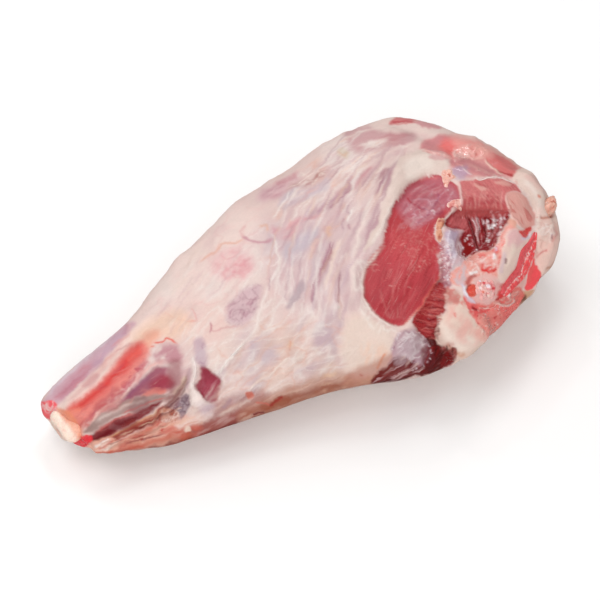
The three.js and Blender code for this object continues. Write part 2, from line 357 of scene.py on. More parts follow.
thighMarks = filled([
    # broad washes of the fat
    area([222, 200, 300, 165, 352, 140, 395, 150, 392, 215, 366, 262, 352, 330, 300, 372, 236, 392, 178, 410,
        150, 330], 0xe4c9c4, 40, 0.7),
    area([165, 262, 222, 210, 262, 226, 266, 270, 236, 296, 196, 332, 150, 340], whiteFat, 26, 0.7),
    area([322, 140, 352, 128, 376, 128, 384, 150, 352, 172, 330, 168], whiteFat, 18, 0.7),
    area([262, 232, 300, 214, 352, 196, 380, 222, 362, 290, 328, 310, 286, 300], washedMauve, 34, 0.62),
    area([262, 232, 300, 222, 330, 250, 312, 290, 276, 286], 0xcebac2, 26, 0.55, fan=True, mottle=(34, 9, 0,
        -0.5, 0.5)),
    area([300, 322, 346, 312, 354, 352, 318, 378, 286, 362], 0xc4aab4, 24, 0.8, mottle=(26, 13, 70, -0.5,
        0.5)),
    area([212, 346, 262, 330, 290, 356, 262, 392, 222, 396], 0xc8b4be, 24, 0.75, mottle=(26, 12, 50, -0.5,
        0.6)),
    area([196, 318, 226, 300, 240, 330, 232, 368, 206, 366, 196, 344], 0xeed4ca, 18, 0.7, lift=0.4),
    area([168, 262, 206, 226, 240, 206, 258, 214, 236, 250, 190, 300], 0xf2d6ce, 22, 0.6),
    area([150, 322, 178, 298, 226, 306, 222, 336, 190, 344, 160, 336], 0xf0cec6, 18, 0.6),
    area([262, 340, 300, 330, 346, 352, 372, 372, 330, 392, 270, 400], 0xe4c4b4, 22, 0.55, mottle=(30, 9, 20,
        -0.6, 0.4)),
    # streaks and threads in the fat
    area([350, 126, 410, 150, 392, 216, 366, 262, 352, 306, 318, 312, 280, 296, 266, 250, 290, 200, 320,
        158], 0xc69ea8, 24, 0.48, fan=True, mottle=(54, 7, 0, 0.0, 0.7), lift=-0.15),
    area([350, 126, 410, 150, 392, 216, 366, 262, 352, 300, 318, 304, 290, 280, 276, 250, 290, 200, 320,
        158], 0xb88692, 24, 0.48, fan=True, mottle=(26, 2.6, 0, 0.25, 0.8), lift=-0.12),
    area([350, 126, 410, 150, 392, 216, 366, 262, 356, 318, 312, 326, 276, 306, 262, 262, 290, 200, 320,
        158], 0xf8eee8, 26, 0.5, fan=True, web=(30, 6, 0, 7), lift=0.15, grain="fan"),
    area([290, 150, 350, 126, 396, 150, 360, 250, 300, 262, 262, 250], 0xe8a88c, 22, 0.4, fan=True, web=(30,
        13, 0, 12)),
    area([150, 330, 262, 226, 300, 300, 356, 330, 372, 372, 230, 420, 150, 420], 0xf6ece6, 24, 0.5, web=(34,
        9, 48, 10), lift=0.25),
    area([190, 400, 236, 330, 300, 320, 356, 340, 340, 386, 240, 414], 0xf6eae2, 20, 0.45, web=(30, 8, 12,
        10), lift=0.2),
    area([190, 400, 236, 330, 300, 320, 372, 340, 350, 386, 240, 414], 0xe29e84, 20, 0.35, web=(26, 12, 30,
        14)),
    area([168, 262, 240, 206, 262, 226, 262, 300, 200, 340, 150, 340], 0xeabab6, 24, 0.35, web=(24, 14, 40,
        14)),
    area("same", 0xe2bebe, 24, 0.4, mottle=(22, 10, 40, 0.0, 0.7)),
    # pink patch with fine blood vessels
    area([214, 254, 236, 248, 254, 260, 248, 276, 226, 280, 212, 272], 0xeebec0, 14, 0.6),
    area([217, 257, 236, 250, 252, 260, 248, 275, 228, 280, 217, 272], 0xe2929a, 12, 0.5, web=(10, 7, 30,
        3)),
    area([236, 258, 246, 259, 247, 266, 236, 273, 230, 268], 0xe2969e, 8, 0.5, mottle=(6, 4, 30, -0.4, 0.5)),
    # mauve over the top edge
    area([345, 131, 366, 126, 396, 124, 415, 131, 412, 144, 388, 150, 356, 152], 0xd0a0a3, 9, 0.88,
        mottle=(30, 4, 14, -0.8, 0.2)),
    area([372, 132, 396, 128, 412, 132, 406, 141, 384, 145], 0xc68c8f, 7, 0.7, mottle=(16, 2.4, 14, -0.5,
        0.4)),
    area([330, 150, 372, 150, 404, 152, 392, 172, 356, 184, 330, 172], 0xd2aeb0, 14, 0.75, mottle=(30, 4, 32,
        -0.4, 0.4)),
    area([378, 176, 390, 168, 394, 180, 386, 196, 376, 202], 0xb88890, 5, 0.85, mottle=(16, 2.2, 62, -0.9,
        0.2)),
    area([376, 204, 382, 210, 376, 236, 368, 250, 366, 232], 0xbe929c, 5, 0.8, mottle=(18, 2.2, 74, -0.6,
        0.4)),
    # purple muscle that shows through at the upper edge
    area([256, 199, 262, 190, 276, 184, 297, 172.5, 299, 178, 290, 186, 286, 195, 268, 201], 0xdeb8bc, 8,
        0.85, lift=-0.5),
    area([260, 197, 266, 189, 282, 183, 284, 190, 276, 197], 0xc8949e, 7, 0.8, mottle=(14, 3, 28, -0.7,
        0.4)),
    line([276, 186, 287, 180, 298, 173], 0xcc8e96, 2.6, 0.7),
    area([286, 190, 298, 180, 312, 173, 326, 167, 331, 172, 318, 182, 300, 190], 0xce9ea0, 8, 0.8,
        mottle=(12, 4, 24, -0.9, 0.3), lift=-0.3),
    area([294, 184, 306, 176, 320, 170, 328, 171, 316, 181, 302, 187], 0xb0706c, 6, 0.75, mottle=(7, 2.6, 24,
        -0.1, 0.5)),
    area([284, 184, 300, 174, 322, 168, 324, 178, 300, 190], 0xf8e6dc, 6, 0.7, web=(10, 5, 30, 5), lift=0.3),
    area([280, 200, 292, 190, 316, 184, 330, 180, 326, 192, 304, 200, 284, 208], 0xcebec8, 9, 0.8,
        mottle=(20, 4, 30, -0.8, 0.4)),
    area([338, 150, 344, 149, 350, 153, 346, 158, 339, 156], 0xdcccb2, 5, 0.6),
    line([338, 152, 344, 156, 349, 152], 0xdea88e, 1, 0.4),
    # streaks that fan down the thigh
    line([356, 176, 349.5, 183, 337.5, 196, 325, 206, 315, 214], 0xb48092, 2.8, 0.75, lift=-0.4),
    line([352, 186, 340, 199, 328, 209], 0xa86e82, 1.3, 0.7),
    line([372, 166, 362, 178, 352, 190], 0xce8c94, 1.8, 0.6),
    area([273, 228, 284, 228, 294.6, 217, 306, 216, 300, 228, 288, 238, 274, 236], 0xdea0a6, 7, 0.75,
        mottle=(14, 5, 30, -0.8, 0.2)),
    line([304, 219, 312, 217, 324, 214], 0xde9ea0, 2.4, 0.6),
    area([284, 258, 284, 244, 298, 236, 316, 228, 320, 238, 302, 252, 292, 264], 0xcabcc6, 8, 0.8,
        mottle=(18, 5, 44, -0.8, 0.3)),
    line([330, 226, 327, 232, 331, 238], 0xeeb88e, 3.4, 0.45, ragged=1.6),
    line([320, 238, 314, 248, 311, 258], 0xeabea6, 3.4, 0.4, ragged=1.6),
    line([346, 203, 343, 207, 340, 212], 0xe8bca6, 2.4, 0.35),
    area([335, 241, 331, 258, 324, 272, 318, 290, 312, 302, 311, 292, 316, 276, 322, 260, 328, 246],
        0xb07a8a, 3.5, 0.85, lift=-0.5, mottle=(20, 1.8, 70, -0.6, 0.3)),
    line([333, 246, 328, 258, 323, 270], 0xa05e6e, 1.2, 0.75),
    line([341, 236, 336, 252, 330, 270, 324, 290], cream, 1.8, 0.8, lift=0.5),
    line([339, 272, 339.5, 290, 338, 304], 0xa06c76, 1.2, 0.8, lift=-0.3),
    line([337, 306, 338.5, 309], 0xcec4be, 1.4, 0.8),
    area([303, 280, 304, 288, 297, 300, 288, 310, 286, 304, 292, 292, 298, 283], 0xb6a0a8, 5, 0.75,
        mottle=(12, 3, 60, -1, 0.1)),
    line([350, 203, 347, 210, 352, 213], 0xb68c9a, 1.6, 0.5, ragged=0.8),
    line([345, 218, 343, 224, 344, 230], 0xb88e9c, 1.4, 0.5, ragged=0.8),
    line([349, 224, 350, 230], 0xac7888, 1.6, 0.55, ragged=0.8),
    line([354, 208, 350, 216, 348, 222], 0xf8f0ea, 1.2, 0.7),
    line([371, 205, 360, 232, 354, 262, 352, 300], 0xf2ded6, 3, 0.7, lift=0.4),
    # seam of fascia from the upper edge to the fold over the shank
    line([290.6, 191, 282.6, 204.5, 272, 217], 0xf6eae4, 1, 0.7, lift=0.3),
    line([272, 232, 277, 251, 278.6, 266, 270, 285], 0xf6ece6, 1.3, 0.65, lift=0.4),
    line([271, 281, 263, 300, 258, 317, 255, 330, 244, 344, 236, 350, 229.6, 362.5, 220, 370.5], 0xf6e8e2,
        1.6, 0.7, lift=0.5),
    line([240, 350, 232, 358, 228, 370], 0xceb0ac, 1.4, 0.6, lift=-0.4),
    # mottled mauve patch over the fold
    area([228, 306, 240, 292, 252, 286, 261, 287, 258, 302, 252, 318, 240, 325, 228, 322], 0xd8b8be, 8,
        0.85),
    area("same", 0xb28290, 8, 0.62, mottle=(6, 2.6, 50, 0.0, 0.7), lift=-0.3),
    area("same", 0x966472, 8, 0.4, web=(8, 5, 70, 9)),
    line([209.6, 322, 212, 331, 226, 328, 240, 326], 0xd8a2a2, 1.1, 0.6),
    line([209, 322, 210.4, 328, 210, 334], 0xc47e8a, 1, 0.7),
    line([330, 336, 334, 346, 334, 357], 0xc0a8b2, 4, 0.5),
    area([260, 353, 270, 349, 279, 356, 272, 364, 262, 363], 0xccbac4, 9, 0.6),
    line([290, 357, 274, 371, 255, 384, 242, 398, 231, 411], 0xf6e8de, 1.4, 0.6, lift=0.4),
    line([286, 343, 293, 345], ochreFat, 3.5, 0.5),
    line([289, 340, 290, 350], 0xe29c84, 1, 0.6),
    # lower edge, painted shade: warmer and darker where it curls under
    line([118, 448, 160, 443, 205, 431, 232, 424, 262, 416, 300, 406, 340, 394, 372, 384, 402, 379],
        0xce8c70, 8, 0.75, ragged=2),
    area([120, 452, 160, 446, 205, 432, 250, 420, 300, 405, 345, 393, 372, 384, 374, 392, 330, 406, 250, 428,
        190, 444, 130, 456], 0x8c3222, 6, 0.85, ragged=2),
    area([180, 438, 190, 429, 206, 421, 223, 417, 246, 409, 266, 402, 290, 398, 290, 410, 246, 424, 206, 438,
        184, 446], 0xae523c, 7, 0.88, ragged=1.5, mottle=(26, 3, 18, -1.6, -0.2)),
    area([184, 441, 206, 431, 226, 425, 248, 416, 268, 410, 268, 420, 226, 436, 192, 448], 0x7e241a, 6, 0.9,
        ragged=1.5, mottle=(22, 3, 18, -1.8, -0.4)),
    # broad warm bands of painted shade that fade up from the lower edge, mauve-brown below the oval
    line([250, 414, 292, 404, 330, 394, 360, 387], 0xca8662, 4.5, 0.6, ragged=2),
    area([262, 404, 300, 393, 352, 380, 374, 376, 372, 384, 320, 398, 270, 411], 0xe2b498, 6, 0.6,
        mottle=(16, 4, 14, -0.5, 0.5)),
    area([192, 434, 197, 412, 214, 402, 236, 396, 256, 390, 268, 394, 264, 410, 240, 421, 214, 430],
        0x9e5e5c, 11, 0.7),
    area("same", 0xd4b0aa, 9, 0.5, mottle=(15, 3, 30, -0.3, 0.5)),
    area([240, 424, 244, 406, 270, 394, 300, 382, 330, 374, 348, 374, 352, 388, 320, 398, 290, 406, 262,
        416], 0xb2725a, 10, 0.66),
    area("same", 0xe0baaa, 9, 0.5, mottle=(17, 3, 24, -0.2, 0.6)),
    line([258, 412, 280, 404, 300, 397, 330, 388, 348, 383], 0x92422c, 5, 0.6, ragged=1.5),
    area([246, 393, 251, 391, 254, 395, 251, 399, 246, 398], 0xce644e, 2.5, 0.8),
    line([255, 401, 263, 402, 272, 404], 0xce6e60, 0.9, 0.7),
    line([270, 405, 277, 401, 284, 397.5], 0xa0322c, 1.5, 0.85, lift=-0.5),
    line([252, 416, 258, 413, 264, 412], 0x822222, 1.2, 0.9, lift=-0.6),
    line([361, 374, 362.5, 377], 0xbe3c3e, 1.6, 0.85),
    # thick fat beside the bare lean
    area([350, 316, 366, 316, 377, 321, 389, 329, 393, 345, 385, 360, 366, 374, 346, 366, 342, 340],
        0xedd7ca, 12, 0.85, lift=0.7),
    area([362, 346, 378, 342, 388, 352, 378, 366, 364, 364], 0xf0c8b2, 10, 0.6, mottle=(8, 4, 70, -0.5,
        0.5)),
    line([386, 352, 381, 362, 378, 370], 0xec9670, 1.4, 0.7),
    area([330, 366, 350, 376, 372, 378, 376, 384, 350, 390, 322, 390], 0xecc4a6, 8, 0.6, mottle=(14, 5, 20,
        -0.5, 0.5)),
    # veins under the fat by the upper edge
    line([200, 262, 207.6, 256.7, 217, 248.7, 223.7, 243.3, 235.7, 242, 243.7, 238], 0xeaac96, 1.3, 0.6),
    line([241, 236, 247, 239, 261, 242, 274, 238], 0xcc929e, 1.5, 0.75),
    line([243, 238, 240, 232, 246, 226], 0xe8b2b0, 1.2, 0.5),
    line([258, 226, 266, 226, 268, 232], 0xe8b49c, 1.4, 0.6),
    line([166, 313, 177, 319, 186, 321, 197, 321], 0xe89892, 1, 0.75),
    line([191, 309, 195, 313, 197, 321], 0xeaa8a2, 1, 0.6),
    # shade where the fat turns under beside the dark muscle
    area([344, 378, 362, 366, 382, 358, 394, 352, 396, 362, 384, 378, 366, 388, 346, 390], 0xb87664, 8, 0.6),
])

shankMarks = filled([
    # muscle along the far edge, under silverskin
    area([42, 402, 60, 382, 99, 346, 126, 324, 134, 326, 112, 352, 92.6, 371, 76.5, 387, 62, 401, 50, 408],
        0xd6acb8, 6, 0.95, lift=-0.4),
    area([54, 398, 66, 384, 84, 368, 98, 358, 100, 364, 84, 379, 66, 396], 0xc47e8e, 9, 0.85, mottle=(30, 4,
        42, -0.9, 0.3)),
    area([92, 362, 106, 346, 124, 328, 126, 334, 110, 352, 98, 366], 0xc8a6b8, 8, 0.7),
    line([48, 396, 66, 376, 90, 354, 116, 332], 0xe0ceda, 2.2, 0.65),
    # pale band over the shin's edge
    area([56, 410, 74, 392, 96, 372, 114, 352, 128, 334, 150, 316, 164, 322, 142, 338, 122, 358, 104, 380,
        84, 398, 66, 414], 0xfaded4, 6, 0.95, lift=0.8),
    line([66, 404, 88, 384, 108, 362, 126, 340], 0xeebab4, 2.4, 0.6),
    area([132, 338, 150, 320, 176, 310, 192, 322, 178, 338, 160, 340, 142, 348], 0xf6d0ba, 14, 0.85),
    area([140, 344, 148, 332, 158, 330, 158, 340, 148, 350], 0xf4ac94, 9, 0.8),
    # shin
    area([62, 412, 80, 398, 98, 384, 112, 366, 130, 345, 142, 342, 150, 352, 142, 368, 128, 384, 112, 396,
        97, 410, 84, 426, 74, 432, 68, 420], 0xee8a80, 8, 0.95, lean=0.35, wet=0.2),
    area([70, 408, 84, 398, 98, 387, 112, 371, 128, 352, 138, 343, 142, 352, 130, 366, 114, 382, 98, 396, 82,
        407], 0xda262a, 12, 0.88, wet=0.3, lean=0.4),
    line([66, 414, 74, 411, 82, 409], 0xf48c76, 4.5, 0.7),
    line([128, 362, 136, 352, 142, 348], 0xf06e62, 4, 0.6),
    area([92, 414, 104, 400, 120, 388, 134, 372, 144, 360, 148, 366, 136, 382, 118, 398, 102, 412], 0xce7880,
        7, 0.85, mottle=(6, 3, 45, -0.8, 0.4)),
    area([108, 396, 124, 382, 136, 366, 146, 360, 142, 372, 126, 390], 0xc45460, 5, 0.7, mottle=(4, 2.4, 45,
        -0.2, 0.5)),
    area([80, 424, 92, 412, 104, 402, 108, 408, 94, 422, 84, 432], 0xd46060, 6, 0.8, mottle=(8, 3, 48, -0.8,
        0.3)),
    line([90, 424, 104, 409, 120, 398, 134, 386], 0xf0c4b8, 1.6, 0.75, lift=0.5),
    # belly of the calf
    area([119, 404, 128, 392, 140, 382, 150, 372, 158, 367, 170, 369, 176, 378, 172, 388, 158, 391, 146, 395,
        132, 400], 0xa25468, 6, 0.95, lean=0.6, lift=0.5, wet=0.25, grain=34),
    area([150, 386, 160, 376, 170, 374, 176, 380, 170, 388, 156, 391], 0xa83e4e, 10, 0.85, lean=0.8),
    area([142, 396, 150, 390, 162, 388, 166, 391, 154, 396, 146, 398], 0xe48478, 3.5, 0.85),
    line([126, 398, 138, 386, 150, 375], 0x925674, 3.2, 0.55),
    line([132, 384, 144, 371, 156, 364, 166, 362], 0xecb8b2, 2, 0.85, lift=0.6),
    area([152, 358, 162, 346, 176, 344, 182, 354, 180, 366, 166, 364], 0xc68a94, 9, 0.9, mottle=(9, 5, 50,
        -1.2, 0.2)),
    area([166, 372, 176, 366, 188, 368, 190, 380, 182, 388, 176, 384], 0xd8b0b2, 8, 0.8),
    line([155, 344, 161, 343, 168, 338.5, 177, 343], 0xec6a60, 1, 0.9),
    line([151, 347, 155, 348], 0xec7e70, 1, 0.7),
    # silver band under the belly
    area([84, 432, 100, 416, 121, 402, 142, 397, 162, 393, 170, 396, 156, 402, 137, 408, 115, 417, 92.6,
        432], 0xa88a84, 4, 0.95, wet=0.45, lift=0.4),
    area([122, 410, 140, 402, 160, 398, 172, 390, 176, 394, 160, 404, 134, 412], 0xac8480, 4, 0.85, wet=0.4,
        mottle=(24, 3, 24, -1, 0.2)),
    line([96, 423, 110, 413, 130, 404, 146, 400], 0xdac4bc, 1.6, 0.7),
    line([121, 413, 134, 408, 150, 402, 166, 396], 0xce5a56, 0.9, 0.55),
    # dark strip behind the heel tendon
    area([84, 440, 92, 434, 103, 426, 116, 418.5, 131, 412.5, 150, 405, 162, 400, 160, 405, 148, 414, 140,
        420, 126, 427, 110, 435.5, 94, 444, 86, 445], 0x80222a, 4, 0.95, lean=0.7, wet=0.5, lift=-0.8,
        grain=28),
    area([92, 440, 106, 430, 122, 421, 136, 416, 134, 420, 116, 430, 100, 439], 0x68161e, 5, 0.7, lean=0.8),
    line([94, 433, 106, 425, 120, 417.5, 134, 412], 0xc4605c, 1.3, 0.7),
    area([100, 440, 126, 428, 150, 415, 162, 406, 170, 408, 152, 422, 126, 436, 108, 442], 0xa63e2e, 4, 0.95,
        ragged=1.5, lift=0.3),
    area([104, 442, 130, 431, 154, 416, 166, 407, 168, 411, 148, 424, 122, 438], 0x8e2c2a, 3, 0.85,
        mottle=(20, 2.4, 30, -0.8, 0.2), lift=-0.4),
    line([104, 439, 124, 430, 146, 418, 158, 409], 0xd6a078, 1, 0.75, lift=0.5),
    line([138, 430, 146, 425, 150, 421], 0x6e1e1c, 1.4, 0.85, lift=-0.6),
    area([100, 446, 126, 438, 150, 426, 170, 418, 190, 416, 196, 424, 176, 434, 146, 444, 118, 450],
        0xde8e7c, 9, 0.94, ragged=1.5),
    area("same", 0xc65448, 7, 0.6, mottle=(18, 3, 22, -0.3, 0.5), lift=-0.3),
    area([110, 446, 140, 436, 170, 420, 196, 418, 180, 432, 140, 446], 0xf6cebc, 6, 0.7, web=(22, 7, 22, 7),
        lift=0.3),
    line([120, 450, 150, 443, 176, 435], 0xce6e58, 3, 0.7),
    line([140, 440, 144, 438.5], 0xb03230, 1.4, 0.8),
    line([156, 426, 160, 421, 161, 416], 0xce5448, 2, 0.7),
    area([176, 424, 186, 419, 204, 412, 214, 414, 200, 424, 182, 430], 0xf0d4ca, 6, 0.8, lift=0.5),
    area([168, 434, 180, 428, 196, 424, 202, 428, 190, 436, 172, 441], 0xca6250, 6, 0.8, mottle=(12, 4, 20,
        -0.9, 0.3)),
    # wet crease between the calf and the thigh
    # dark lines along the crease are painted shade in the fold
    line([160, 412, 168, 405, 176, 396, 182, 388, 190, 374], 0xa0746a, 1.8, 0.85, lift=-1),
    line([160, 413, 166, 411, 174, 403, 181, 395], 0x46221e, 1.4, 0.9, lift=-1),
    line([181, 395, 185, 389, 190, 380], 0x785650, 1.1, 0.7, lift=-0.6),
    line([172, 394, 180, 386, 186, 376], 0xe2c8b2, 2, 0.8, lift=0.6),
    area([172, 416, 175, 405, 184, 394, 188, 396, 190, 404, 186, 412, 180, 419], 0xa28890, 4, 0.92, wet=0.95,
        lift=-0.8),
    area("same", 0x6e5460, 4, 0.8, wet=1, web=(9, 5, 60, 6), lift=0.5),
    area([160, 412, 166, 408, 174, 411, 178, 417, 172, 421, 163, 418], 0xd69680, 3, 0.85, lift=0.7),
    area([158, 414, 166, 410, 176, 411, 180, 417, 172, 422, 160, 421], 0xaa3c32, 3, 0.85, mottle=(5, 2, 40,
        -0.3, 0.3), lift=-0.6),
    area("same", 0xf6d6ca, 3, 0.9, web=(5, 3, 70, 4), lift=0.6),
    line([150, 424, 158, 418, 166, 413], 0x6e2822, 1.3, 0.8, lift=-0.7),
    line([146, 432, 152, 426, 157, 420], 0xd66e5a, 2, 0.7),
    line([192, 355, 195, 366, 193.6, 378, 193, 390, 197, 402], 0xf4e6e1, 2.4, 0.95, lift=1.1),
    line([190, 366, 189, 378, 188, 390], 0xc4a0a8, 1.6, 0.7, lift=-0.4),
    area([190, 392, 197, 390, 203, 396, 204, 403, 198, 408, 191, 404], 0xf6e4de, 3, 0.95, lift=1.4),
    # oval of bare muscle in the fold
    area([201, 366.5, 207.6, 368, 214, 375, 222, 383, 223.6, 389.6, 217, 399.5, 209, 402.6, 203, 398, 198,
        391, 195.6, 386, 199.6, 378], 0x982840, 4.2, 0.95, lean=0.5, wet=0.3, lift=-0.6, grain=60),
    area([204, 384, 214, 378, 220, 386, 214, 397, 206, 396], 0xa64254, 7, 0.7, lean=0.8),
    line([201, 372, 203, 380, 204, 388], 0xba6e7c, 1.8, 0.3),
    line([210, 388, 215, 382, 221, 378], 0xbe707e, 1, 0.35),
    area([195, 342, 203, 338, 207, 350, 207, 364, 201, 367, 196, 358], 0xc8aeba, 7, 0.75),
    area("same", 0xac8296, 6, 0.6, web=(12, 5, 70, 5)),
    line([218.5, 375, 226, 363, 236, 351, 245, 343], 0xf8eee8, 1.1, 0.8, lift=0.4),
    line([224, 378, 222, 390, 218, 400], 0xf2e0da, 2.4, 0.8, lift=0.5),
    line([222.5, 408, 227, 404, 232, 399], 0xb08e96, 2.2, 0.75),
    area([200, 408, 206, 403, 214, 406, 212, 414, 204, 416], 0xcec0cc, 8, 0.55),
    line([162, 430, 164.2, 430.4], 0xc43432, 1.5, 0.85),
    area([184, 430, 186, 427, 190, 427, 191, 431, 187, 432], 0xf0d8c8, 2.4, 0.85, lift=1.2),
    # the sawn end
    area([52, 416, 48, 420, 46, 430, 58, 442, 70, 446, 76, 440, 70, 430, 60, 420], 0xfadece, 4, 0.97),
    area([56, 408, 66, 410, 76, 420, 82, 432, 80, 440, 72, 428, 62, 416], 0xf49674, 5, 0.8),
    area([37, 404, 42, 400, 50, 400, 57, 404, 57.5, 412, 54, 421, 46, 420, 38, 412], 0xfc626a, 2.2, 0.96,
        lean=0.4, wet=0.3, ragged=1.4),
    area("same", 0xf8d0ce, 2.2, 0.85, web=(6, 5, 100, 6), ragged=1.4),
    line([46, 401, 47.6, 408.8, 52.4, 410.4], 0xf6cec8, 1.1, 0.9),
    line([50, 420, 54, 416, 56.5, 410], 0xf0beba, 1.4, 0.7),
    area([70, 441, 76, 437, 84, 436, 91, 436, 92.5, 442, 86, 447, 74, 446], 0xf2404a, 2.4, 0.95, lean=0.5,
        wet=0.5),
    line([77, 437.5, 79.5, 438.5], 0x6e161a, 1.7, 0.9, lift=-1, wet=0.5),
    line([76, 444, 82, 444, 88, 442], 0xe87878, 1, 0.6),
    area([88, 447, 96, 440, 108, 437, 118, 440, 118, 448, 108, 455, 93, 455], 0xfabca6, 4, 0.92, lift=0.9),
    area([94, 447, 100, 442, 110, 440, 114, 444, 106, 450, 96, 451], 0xfce2d6, 3, 0.75, lift=0.5, mottle=(10,
        2.4, 30, -0.6, 0.3)),
    line([95, 447, 102, 442, 109, 439], 0xfef0ea, 1.5, 0.85, lift=0.5),
    line([103, 450, 111, 445, 119, 441], 0xfae2d6, 1.3, 0.8, lift=0.5),
    line([98, 450, 106, 445, 114, 440], 0xe27c6e, 1.2, 0.75, lift=-0.4),
    line([92, 452, 102, 453, 114, 450], 0xd86856, 1.6, 0.75),
    line([104, 453, 124, 449, 146, 446], 0xc45440, 2, 0.7),
    # painted shade in the fold, and deeper tones between the bands
    area([168, 362, 180, 360, 182, 384, 178, 408, 168, 410, 168, 386], 0x965458, 6, 0.5),
    area([94, 408, 104, 396, 116, 386, 122, 392, 118, 408, 104, 412], 0xba5456, 6, 0.5),
    area([128, 408, 138, 398, 148, 398, 148, 408, 136, 412], 0x8c5e60, 5, 0.5),
    area([120, 434, 126, 422, 134, 420, 134, 432], 0x8c2c26, 4, 0.5),
    area([82, 386, 92, 374, 98, 376, 92, 388], 0xd69094, 5, 0.5),
])

